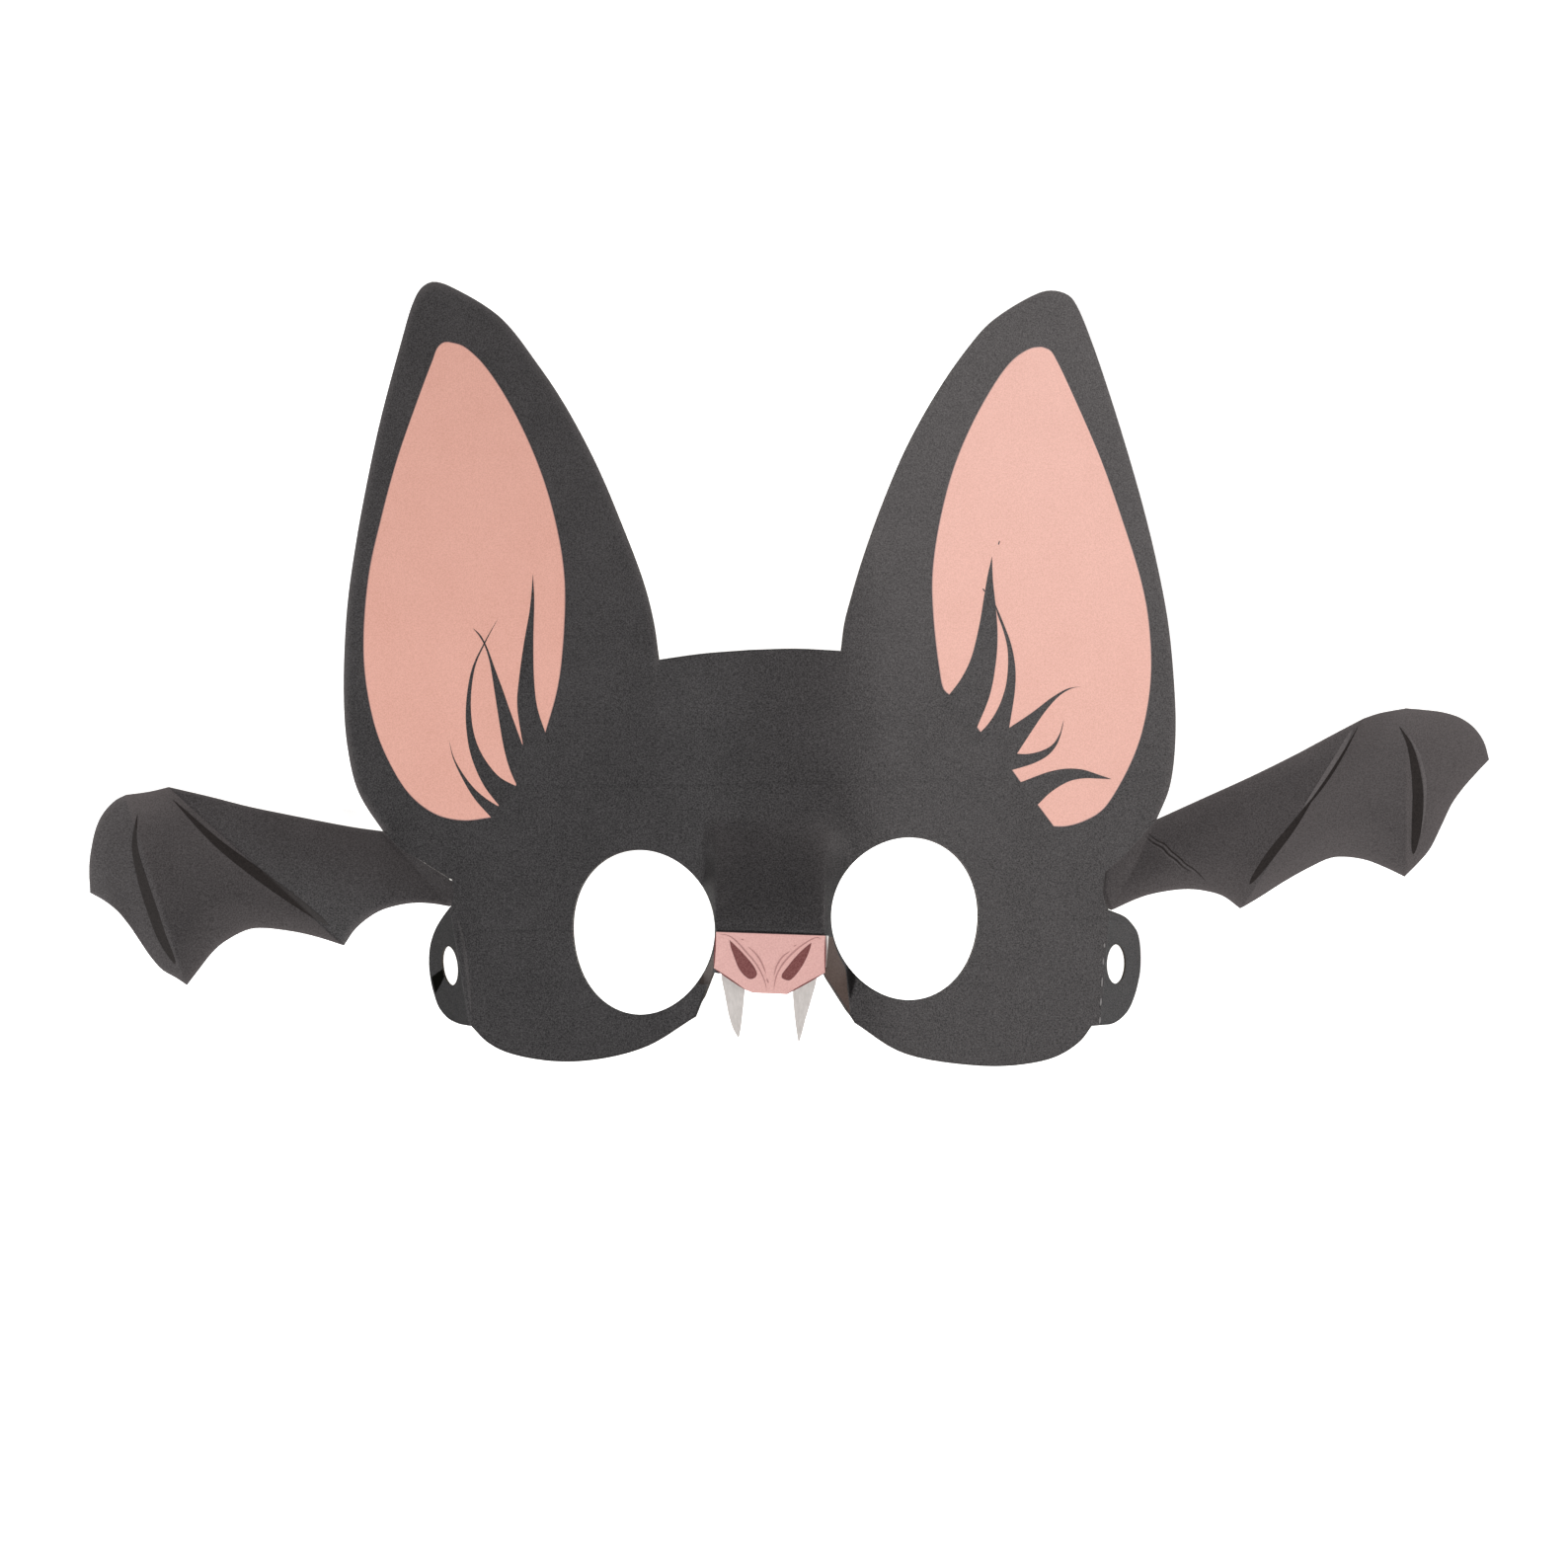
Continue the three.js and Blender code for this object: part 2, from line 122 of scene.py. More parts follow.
# How worn the cut edges are. The eye holes are worn more on their outer sides.
EDGE_WEAR = {"wing slit": 0.1, "slit end": 0.6, "notch": 0.0, "cheek": 0.3, "tab fold": 0.0}
OTHER_WEAR = 0.12
EYE_WEAR = 0.5

# How the rims look. Above nothing a rim is faded, and below nothing it is a thin dark line. An ear's changes
# evenly from its inner to its outer side, and the eye holes have a dark rim to the nose and below.
EDGE_RIM = {"brow": -0.5, "cheek": -0.6, "strip end": -1.0}
EAR_RIM = {"left": (0.5, 1.0), "right": (0.0, 0.5)}
EYE_RIM_TOWARDS = (0.8, -0.6)

# Where the ink is lighter grey: up the ears, and as painted light over the rise of the bridge and along its
# two sides. In these tables a pair is where a mark starts and where it is full.
EAR_LIGHTER = {"amount": 0.14, "up": (30.0, 90.0)}
BRIDGE_LIGHT = {
    "amount": 0.1, "middle": -1.0, "rise": 20.0, "rise_width": 6.0,
    "side": (6.0, 12.0), "side_low": (-1.0, 7.0), "side_top": (27.0, 21.0), "edge": (17.0, 14.0),
}

# Painted shade, dark and matt: on the steep nose walls, and in a wedge beside the foot of the right one
WALL_SHADE = {
    "left": 0.55, "right": 0.4, "off_middle": (0.6, 0.4), "top": (BRIDGE_TOP, 12.0), "low": (-15.0, -10.0),
}
SHADE_WEDGE = {
    "top": (16.9, -10.1), "low": (17.95, -19.0), "width": 2.4, "taper": 6.0, "shade_depth": 0.85,
    "near": (0.0, 0.3), "far": (0.0, 0.6), "above": (1.5, 0.5),
}


def equal_steps(line, step):
    """Points at equal distances along a line of points, about a step apart."""
    lengths = np.linalg.norm(np.diff(line, axis=0), axis=1)
    along = np.concatenate([[0], np.cumsum(lengths)])
    count = max(int(np.ceil(along[-1] / step)), 1)
    places = np.linspace(0, along[-1], count + 1)
    return np.column_stack([np.interp(places, along, axis) for axis in line.T])


def smooth_line(knots, step):
    """Centripetal Catmull-Rom line through the knots, cut into equal steps.

    Each stretch is the cubic that meets its two knots with slopes taken from the neighbouring knots,
    weighted by the square roots of the distances. The ends go on straight."""
    knots = np.array(knots, float)
    line = np.vstack([2 * knots[0] - knots[1], knots, 2 * knots[-1] - knots[-2]])
    gaps = np.sqrt(np.linalg.norm(np.diff(line, axis=0), axis=1))[:, None]
    before, here, after = gaps[:-2], gaps[1:-1], gaps[2:]
    previous, start, end, following = line[:-3], line[1:-2], line[2:-1], line[3:]
    leave = here * ((start - previous) / before - (end - previous) / (before + here) + (end - start) / here)
    arrive = here * ((end - start) / here - (following - start) / (here + after) + (following - end) / after)
    share = np.linspace(0, 1, CURVE_SAMPLES, endpoint=False)[None, :, None]
    start, end, leave, arrive = (values[:, None] for values in (start, end, leave, arrive))
    bend = 3 * (end - start) - 2 * leave - arrive
    twist = 2 * (start - end) + leave + arrive
    curve = start + share * leave + share**2 * bend + share**3 * twist
    return equal_steps(np.vstack([curve.reshape(-1, knots.shape[1]), knots[-1:]]), step)


def snout_height(y):
    """Height of the snout's back: level at its top edge, then falling to the chin at the snout's tilt."""
    return CREST_HEIGHT + NOSE_RISE + np.minimum(0, y - SNOUT_TOP) * tan(SNOUT_TILT)


def nose_climb(x):
    """Share of the way up a nose wall: nothing at its foot and one at its top, and so on past its folds."""
    foot, top = (
        np.where(x < 0, NOSE_WALLS["left"][part], NOSE_WALLS["right"][part]) for part in ("foot", "top")
    )
    return (foot - x) / (foot - top)


def ramp(value, start, full):
    """Share of the way of a value from a start to where it is full, held between nothing and one."""
    return np.clip((value - start) / (full - start), 0, 1)


def face_height(x, y):
    """Height of the front of the face card.

    Across the face the card falls from its crest along a round bend, then on a straight slope. It falls
    evenly towards the ears, whose ends curl back by a square. It is drawn up to the snout between the nose
    walls, by two hyperbolas that round each wall's folds, and down the bridge, by a smooth step."""
    across = np.abs(x - CREST_LEAN * y)
    bend = np.minimum(across, BOW_RADIUS * sin(BOW_SLOPE))
    bow = BOW_RADIUS - np.sqrt(BOW_RADIUS**2 - bend**2) + (across - bend) * tan(BOW_SLOPE)
    ear = np.clip((y - EAR_BEND["start"]) / (EAR_BEND["end"] - EAR_BEND["start"]), 0, 2)
    sheet = CREST_HEIGHT - bow - BACK_TILT * (y - TAB_LEVEL) - EAR_BEND["fall"] * ear**2
    climb = nose_climb(x)
    over_nose = 0.5 * (1 + np.hypot(climb, FOLD_ROUNDING) - np.hypot(climb - 1, FOLD_ROUNDING))
    down = ramp(y, BRIDGE_TOP, SNOUT_TOP)
    down_bridge = down**2 * (3 - 2 * down)
    return sheet + over_nose * down_bridge * (snout_height(y) - sheet)


def on_surface(height, x, y, lift=0.0):
    """Points of the surface z = height(x, y), raised along its normals, which come from its two slopes."""
    step = 0.02
    slope_x = (height(x + step, y) - height(x - step, y)) / (2 * step)
    slope_y = (height(x, y + step) - height(x, y - step)) / (2 * step)
    normal = np.stack([-slope_x, -slope_y, np.ones_like(x)], axis=-1)
    normal /= np.linalg.norm(normal, axis=-1, keepdims=True)
    return np.stack([x, y, height(x, y)], axis=-1) + np.asarray(lift)[..., None] * normal


def rulings(starts, ends, count):
    """Grid of straight rulings: row i runs from start i to end i in equal steps."""
    share = np.linspace(0, 1, count + 1)[None, :, None]
    return starts[:, None] + share * (ends - starts)[:, None]


def card_piece(name, sheets, thickness, finishes, marks=None):
    """Closed card from the grids of its front.

    The grids are welded where they meet, and a square that this draws together stays as a triangle. The
    back is the front set back along its normals, and a wall joins the two along every free edge. The
    finishes are those of the front, the back and the cut edge. A mark is a number for each point of the
    front, kept on the mesh under its name."""
    sizes = [sheet.shape[0] * sheet.shape[1] for sheet in sheets]
    starts = np.concatenate([[0], np.cumsum(sizes)[:-1]])
    points = np.vstack([sheet.reshape(-1, 3) for sheet in sheets])
    quads = []
    for sheet, start in zip(sheets, starts):
        index = start + np.arange(sheet.shape[0] * sheet.shape[1]).reshape(sheet.shape[:2])
        corners = (index[:-1, :-1], index[1:, :-1], index[1:, 1:], index[:-1, 1:])
        quad = np.stack(corners, axis=-1).reshape(-1, 4)
        facing = np.cross(points[quad[:, 2]] - points[quad[:, 0]], points[quad[:, 3]] - points[quad[:, 1]])
        quads.append(quad if facing[:, 2].sum() > 0 else quad[:, ::-1])
    quads = np.vstack(quads)
    _, first, welded = np.unique(points.round(WELD_DIGITS), axis=0, return_index=True, return_inverse=True)
    points, quads = points[first], welded.reshape(-1)[quads]
    facing = np.cross(points[quads[:, 2]] - points[quads[:, 0]], points[quads[:, 3]] - points[quads[:, 1]])
    normals = np.zeros_like(points)
    np.add.at(normals, quads, facing[:, None])
    normals /= np.maximum(np.linalg.norm(normals, axis=1, keepdims=True), 1e-9)
    count = len(points)
    edges = np.stack([quads, np.roll(quads, -1, axis=1)], axis=-1).reshape(-1, 2)
    edges = edges[edges[:, 0] != edges[:, 1]]
    free = edges[~np.isin(edges @ [count, 1], edges @ [1, count])]
    walls = np.column_stack([free[:, ::-1], free + count])
    faces = []
    finish_of_face = []
    for number, group in enumerate([quads, quads[:, ::-1] + count, walls]):
        kept = group != np.roll(group, 1, axis=1)
        corners = kept.sum(axis=1)
        for size in (4, 3):
            chosen = corners == size
            faces += group[chosen][kept[chosen]].reshape(-1, size).tolist()
            finish_of_face += [number] * int(chosen.sum())
    body = np.vstack([points, points - thickness * normals])
    mesh = bpy.data.meshes.new(name)
    mesh.from_pydata((body + BETWEEN_EYES) / 1000, [], faces)
    for finish in finishes:
        mesh.materials.append(finish)
    mesh.polygons.foreach_set("material_index", finish_of_face)
    mesh.polygons.foreach_set("use_smooth", np.ones(len(faces), bool))
    mesh.set_sharp_from_angle(angle=SHARP_FOLD)
    for mark, grids in (marks or {}).items():
        values = np.concatenate([grid.reshape(-1) for grid in grids])[first]
        data = mesh.attributes.new(mark, "FLOAT", "POINT").data
        data.foreach_set("value", np.concatenate([values, values]).astype(np.float32))
    piece = bpy.data.objects.new(name, mesh)
    bpy.context.collection.objects.link(piece)
    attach(piece, BODY)
    return piece


def node(tree, kind, sockets=None, **settings):
    """Adds a shader node. A socket, by name or number, gets a value or a link to another node's output."""
    made = tree.nodes.new("ShaderNode" + kind)
    for name, value in settings.items():
        setattr(made, name, value)
    for socket, value in (sockets or {}).items():
        if isinstance(value, bpy.types.NodeSocket):
            tree.links.new(value, made.inputs[socket])
        else:
            made.inputs[socket].default_value = value
    return made


def math_node(tree, operation, *values):
    """One arithmetic step on values or outputs."""
    return node(tree, "Math", dict(enumerate(values)), operation=operation).outputs[0]


def blend(tree, share, first, second):
    """Colour between a first and a second colour by a share."""
    return node(tree, "Mix", {0: share, 6: first, 7: second}, data_type="RGBA").outputs[2]


def spread(tree, value, low, high, to_low=0.0, to_high=1.0):
    """Value carried evenly from one range to another and held at its ends."""
    sockets = {"Value": value, "From Min": low, "From Max": high, "To Min": to_low, "To Max": to_high}
    return node(tree, "MapRange", sockets).outputs[0]


NOISE_SPAN = (0.3, 0.7)  # most of a noise's values lie between these


def noise(tree, place, size_mm, detail=2.0):
    """Cloudy noise whose blotches are about the given size."""
    sockets = {"Vector": place, "Scale": 1000 / size_mm, "Detail": detail, "Roughness": 0.6}
    return node(tree, "TexNoise", sockets).outputs["Fac"]


def new_finish(name, gloss):
    """Material with a Principled surface of a given specular level, its nodes and its object coordinates."""
    finish = bpy.data.materials.new(name)
    finish.use_nodes = True
    tree = finish.node_tree
    surface = tree.nodes["Principled BSDF"]
    surface.inputs["Specular IOR Level"].default_value = gloss
    place = node(tree, "TexCoord").outputs["Object"]
    return finish, tree, surface, place


def roughen(tree, surface, grain, depth_mm, low, high):
    """Lets a grain set the height of the surface and its roughness between two values."""
    bump = node(tree, "Bump", {"Height": grain, "Strength": 1.0, "Distance": depth_mm / 1000})
    tree.links.new(bump.outputs[0], surface.inputs["Normal"])
    tree.links.new(spread(tree, grain, *NOISE_SPAN, low, high), surface.inputs["Roughness"])


def tone_of(tree, grain, span, cloud, cloud_share):
    """Tone from nothing to one: a grain over its span of values, with a share of cloudiness added to it."""
    grains = spread(tree, grain, *span, 0, 1 - cloud_share)
    clouds = spread(tree, cloud, *NOISE_SPAN, 0, cloud_share)
    return math_node(tree, "ADD", grains, clouds)


TONER_GRAIN = 0.34  # size of the toner's grains
TONER_DETAIL = 3.0
TONER_SPAN = (0.32, 0.68)
TONER_CLOUD = 0.15
PAPER_TOOTH = 0.28  # size of the pits in the paper
PRINT_BANDS = (134.0, 70.0, 33.9, -0.2)  # places up the face where the printer left a faint line
BAND = {"slope": 0.021, "half": 0.6, "depth": 0.22}  # their slope, half their width and how dark they are
BLACK_DARK = (0.003, 0.0027, 0.0028, 1)
BLACK_LIGHT = (0.0585, 0.0538, 0.0556, 1)
BLACK_SCUFFED_AND_LIT = (0.12, 0.107, 0.107, 1)
CARD_CORE = (0.55, 0.51, 0.47, 1)

# Darkest and lightest tone of a finish
BACK_CARD = (0.6, 0.575, 0.545, 1), (0.74, 0.72, 0.69, 1)
CUT_EDGE = (0.02, 0.016, 0.013, 1), (0.055, 0.044, 0.037, 1)

# Scuffing and painted light show least on the darkest toner. The rims' and the wear's widths are distances
# from the cut edge. The sheen goes to matt under painted shade, and it varies over the grains.
SCUFFING_AND_LIGHT = {"tones": (0.2, 0.8), "least": 0.75}
FADED_RIM = {"width": 2.4, "share": 0.7}
DARK_RIM = {"outer": 0.25, "inner": 0.45, "share": 0.9}
WORN_EDGE = {"width": 0.14, "past": 0.04, "ragged": 0.1, "share": 0.75}
SHEEN = {"matt": 0.05, "matt_from": 0.6, "grain": (0.6, 1.4)}


def black_print(name, bands=(), gloss=0.44):
    """Satin black toner, grainy and cloudy, and worn through to the card at worn edges.

    Marks on the mesh say where it is lighter grey, most of it painted light, where painted shade makes it
    darkest and matt, and how it changes towards a cut edge (rim)."""
    finish, tree, surface, place = new_finish(name, gloss)
    toner = noise(tree, place, TONER_GRAIN, TONER_DETAIL)
    tone = tone_of(tree, toner, TONER_SPAN, noise(tree, place, size_mm=14.0), TONER_CLOUD)
    colour = blend(tree, tone, BLACK_DARK, BLACK_LIGHT)
    axes = node(tree, "SeparateXYZ", {0: place}).outputs
    up = math_node(tree, "SUBTRACT", axes["Y"], math_node(tree, "MULTIPLY", axes["X"], BAND["slope"]))
    for band in bands:
        off = math_node(tree, "ABSOLUTE", math_node(tree, "SUBTRACT", up, (band + BETWEEN_EYES[1]) / 1000))
        colour = blend(tree, spread(tree, off, 0, BAND["half"] / 1000, BAND["depth"], 0), colour, BLACK_DARK)
    scuff_and_light, painted_shade, nearness, wear, rim = (
        node(tree, "Attribute", attribute_name=mark).outputs["Fac"]
        for mark in ("scuff_and_light", "painted_shade", "edge", "wear", "rim")
    )
    # Lighter grey, most of it painted light: the ink is blended towards a paler grey.
    lightened = math_node(tree, "MULTIPLY", scuff_and_light, spread(tree, tone, *SCUFFING_AND_LIGHT["tones"], SCUFFING_AND_LIGHT["least"]))
    colour = blend(tree, lightened, colour, BLACK_SCUFFED_AND_LIT)
    close = spread(tree, nearness, EDGE_REACH - FADED_RIM["width"], EDGE_REACH)
    faded = math_node(tree, "MULTIPLY", math_node(tree, "POWER", close, 2.0), FADED_RIM["share"])
    colour = blend(tree, math_node(tree, "MULTIPLY", faded, rim), colour, BLACK_SCUFFED_AND_LIT)
    line_inner, line_outer = EDGE_REACH - DARK_RIM["inner"], EDGE_REACH - DARK_RIM["outer"]
    line = spread(tree, nearness, line_inner, line_outer, 0, -DARK_RIM["share"])
    colour = blend(tree, math_node(tree, "MULTIPLY", line, rim), colour, BLACK_DARK)
    # Painted shade: the ink is blended to its darkest black, and its sheen goes to matt.
    colour = blend(tree, painted_shade, colour, BLACK_DARK)
    sheen = spread(tree, painted_shade, 0, SHEEN["matt_from"], gloss, SHEEN["matt"])
    grained = math_node(tree, "MULTIPLY", sheen, spread(tree, toner, *TONER_SPAN, *SHEEN["grain"]))
    tree.links.new(grained, surface.inputs["Specular IOR Level"])
    ragged = spread(tree, toner, *NOISE_SPAN, -WORN_EDGE["ragged"], WORN_EDGE["ragged"])
    bared = math_node(tree, "ADD", nearness, ragged)
    bare_from, bare_to = EDGE_REACH - WORN_EDGE["width"], EDGE_REACH + WORN_EDGE["past"]
    worn = math_node(tree, "MULTIPLY", spread(tree, bared, bare_from, bare_to, 0, WORN_EDGE["share"]), wear)
    tree.links.new(blend(tree, worn, colour, CARD_CORE), surface.inputs["Base Color"])
    roughen(tree, surface, noise(tree, place, PAPER_TOOTH), depth_mm=0.01, low=0.46, high=0.56)
    return finish


def bare_card(name, dark, light):
    """Uncoated card: fine fibres drawn out one way, soft cloudiness and a matt toothy surface."""
    finish, tree, surface, place = new_finish(name, gloss=0.25)
    stretched = node(tree, "Mapping", {"Vector": place, "Scale": (1.0, 0.25, 1.0)}).outputs[0]
    fibre = noise(tree, stretched, size_mm=0.5, detail=4.0)
    tone = tone_of(tree, fibre, NOISE_SPAN, noise(tree, place, size_mm=9.0), cloud_share=0.3)
    tree.links.new(blend(tree, tone, dark, light), surface.inputs["Base Color"])
    roughen(tree, surface, fibre, depth_mm=0.015, low=0.75, high=0.9)
    return finish


face_print = black_print("face_black_print", PRINT_BANDS)
back_card = bare_card("bare_card_back", *BACK_CARD)
cut_edge = bare_card("cut_card_edge", *CUT_EDGE)


def wall_shade(x, y):
    """Painted shade on the steep nose walls, coming in evenly at their folds, at the top and at the low end.
    """
    shade_depth = np.where(x < 0, WALL_SHADE["left"], WALL_SHADE["right"])
    off_middle = np.abs(nose_climb(x) - 0.5)
    ends = ramp(y, *WALL_SHADE["top"]) * ramp(y, *WALL_SHADE["low"])
    return shade_depth * ramp(off_middle, *WALL_SHADE["off_middle"]) * ends


def wedge_shade(x, y):
    """Painted shade in a wedge beside the foot of the right nose wall, narrowing evenly to its low end."""
    (top_x, top_y), (low_x, low_y) = SHADE_WEDGE["top"], SHADE_WEDGE["low"]
    beside = x - np.interp(y, (low_y, top_y), (low_x, top_x))
    width = SHADE_WEDGE["width"] * ramp(y - low_y, 0, SHADE_WEDGE["taper"])
    inside = ramp(beside, *SHADE_WEDGE["near"]) * ramp(width - beside, *SHADE_WEDGE["far"])
    return SHADE_WEDGE["shade_depth"] * ramp(y - top_y, *SHADE_WEDGE["above"]) * inside


def bridge_light(x, y):
    """Painted light over the rise of the bridge, in a bell curve, and evenly along its two sides."""
    off_middle = np.abs(x - BRIDGE_LIGHT["middle"])
    rise = np.exp(-(((y - BRIDGE_LIGHT["rise"]) / BRIDGE_LIGHT["rise_width"]) ** 2))
    side = ramp(off_middle, *BRIDGE_LIGHT["side"])
    side = side * ramp(y, *BRIDGE_LIGHT["side_low"]) * ramp(y, *BRIDGE_LIGHT["side_top"])
    return BRIDGE_LIGHT["amount"] * (rise + side) * ramp(off_middle, *BRIDGE_LIGHT["edge"])


def half_face(side, half):
    """Front of half the face: straight spokes from the eye hole, a swollen ellipse, to the outline.

    Returns the grid and its marks: nearness to a cut edge, that edge's wear and rim, painted shade on the
    nose walls and beside the right one, lighter grey up the ears, and painted light on the bridge. The seam
    between the halves is no cut edge."""
    stretches = {name: knots for name, knots in half.items() if name != "eye"}
    stretches["seam"] = [SNOUT_SEAM, BROW_SEAM]
    steps = [NOSE_STEP if name in NOSE_STRETCHES else OUTLINE_STEP for name in stretches]
    lines = [smooth_line(knots, step) for knots, step in zip(stretches.values(), steps)]
    outline = np.vstack([line[:-1] for line in lines] + [lines[0][:1]])
    wear = [np.full(len(line) - 1, EDGE_WEAR.get(name, OTHER_WEAR)) for name, line in zip(stretches, lines)]
    wear = np.concatenate([*wear, [OTHER_WEAR]])[:, None]
    rims = {name: np.full(len(line) - 1, EDGE_RIM.get(name, 0.0)) for name, line in zip(stretches, lines)}
    rims["ear"] = np.linspace(*EAR_RIM[side], len(rims["ear"]))
    rim = np.concatenate([*rims.values(), [0.0]])[:, None]
    centre, radii = np.array(half["eye"]["centre"]), np.array(half["eye"]["radii"])
    spoke = outline - centre
    turn = np.arctan2(spoke[:, 1], spoke[:, 0]) - half["eye"]["lobe"]
    swell = 1 + EYE_SWELL * np.cos(EYE_CORNERS * turn)
    hole = centre + spoke * (swell / np.linalg.norm(spoke / radii, axis=1))[:, None]
    flat = rulings(hole, outline, FACE_RINGS)
    length = np.linalg.norm(outline - hole, axis=1)[:, None]
    share = np.linspace(0, 1, FACE_RINGS + 1)[None]
    along = np.gradient(outline, axis=0)
    slant = np.abs(along[:, 0] * spoke[:, 1] - along[:, 1] * spoke[:, 0])
    slant = (slant / np.linalg.norm(along, axis=1) / np.linalg.norm(spoke, axis=1))[:, None]
    to_outline = length * (1 - share) * slant
    to_outline[-len(lines[-1]):] = EDGE_REACH
    nearness = EDGE_REACH - np.minimum(np.minimum(to_outline, length * share), EDGE_REACH)
    heading = spoke / np.linalg.norm(spoke, axis=1, keepdims=True)
    outer = np.clip(np.sign(centre[0]) * heading[:, :1], 0, 1)
    wear = np.where(share < 0.5, OTHER_WEAR + EYE_WEAR * outer, wear)
    towards = np.array([-np.sign(centre[0]), 1.0]) * EYE_RIM_TOWARDS
    eye_rim = -np.clip(heading @ towards, 0, 1)[:, None]
    rim = np.where(share < 0.5, eye_rim, rim)
    x, y = flat[..., 0], flat[..., 1]
    lightening = EAR_LIGHTER["amount"] * ramp(y, *EAR_LIGHTER["up"]) + bridge_light(x, y)
    painted_shade = np.maximum(wall_shade(x, y), wedge_shade(x, y))
    marks = {"edge": nearness, "wear": wear, "rim": rim, "painted_shade": painted_shade, "scuff_and_light": lightening}
    return on_surface(face_height, x, y), marks


face_grids, face_marks = zip(*[half_face(side, half) for side, half in FACE_HALVES.items()])
face_marks = {name: [half[name] for half in face_marks] for name in face_marks[0]}
face_sheet = card_piece("face_sheet", face_grids, CARD, [face_print, back_card, cut_edge], face_marks)
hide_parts("face_card")

# Inner ears
# A pink panel printed on each ear, with black tufts of hair drawn over its lower inner side.
# Print has almost no thickness: each shape is a film a few hundredths of a millimetre proud of the card.

FILM = {"proud": 0.04, "sunk": 0.03, "layer": 0.012}  # over the card, in the card, and from layer to layer
PRINT_STEP = 0.9
SIDE_STEP = 0.2  # a shape between two lines is worked out from steps this fine
PANEL_RINGS = 22
TAPER = 1.5  # how sharp the ends of a drawn stroke are
HAIR_STEPS = 60
HAIR_COLUMNS = 6
HAIR_ROOT = 4.0  # length of black past the base of a tuft, over which its film sinks into the card
ROOT_ROWS = 3

# The base is the row of corners where the tufts leave the black. The outer side runs from it to the tip.
EAR_PANELS = {
    "left": {
        "middle": (-76.0, 80.0),
        "outer": [
            (-68.3, 25.6), (-74.8, 24.9), (-81.5, 26.3), (-88.0, 31.1), (-93.9, 40.6), (-97.3, 50.2),
            (-99.4, 64.5), (-98.3, 83.6), (-95.2, 97.9), (-91.3, 112.2), (-86.3, 126.5), (-82.7, 136.0),
            (-81.3, 139.4), (-79.6, 140.5), (-77.0, 140.1),
        ],
        "inner": [
            (-77.0, 140.1), (-75.3, 139.5), (-70.8, 135.6), (-64.3, 126.2), (-57.3, 111.8), (-52.7, 97.4),
            (-50.3, 82.5), (-50.9, 64.6), (-52.2, 55.8), (-55.0, 45.9),
        ],
        "base": [(-55.0, 45.9), (-60.7, 43.0), (-62.1, 33.2), (-66.3, 28.5), (-68.3, 25.6)],
    },
    "right": {
        "middle": (75.0, 70.0),
        "outer": [
            (67.1, 23.5), (70.0, 23.5), (74.3, 24.7), (78.8, 27.3), (82.9, 33.0), (87.5, 42.5),
            (90.0, 52.0), (91.0, 61.9), (90.3, 74.1), (88.4, 83.6), (83.9, 97.9), (78.8, 112.2),
            (72.6, 126.5), (68.1, 136.0), (66.5, 138.5), (64.4, 139.3),
        ],
        "inner": [
            (64.4, 139.3), (61.8, 138.9), (57.2, 135.8), (50.5, 126.1), (43.7, 111.7), (39.7, 97.4),
            (37.8, 84.4), (37.9, 75.1), (39.3, 62.0), (40.5, 56.3), (41.8, 55.1),
        ],
        "base": [
            (41.8, 55.1), (48.5, 47.3), (49.3, 46.2), (56.4, 47.2), (58.2, 40.9), (57.0, 37.0),
            (59.1, 34.1), (63.1, 28.8), (67.1, 23.5),
        ],
    },
}

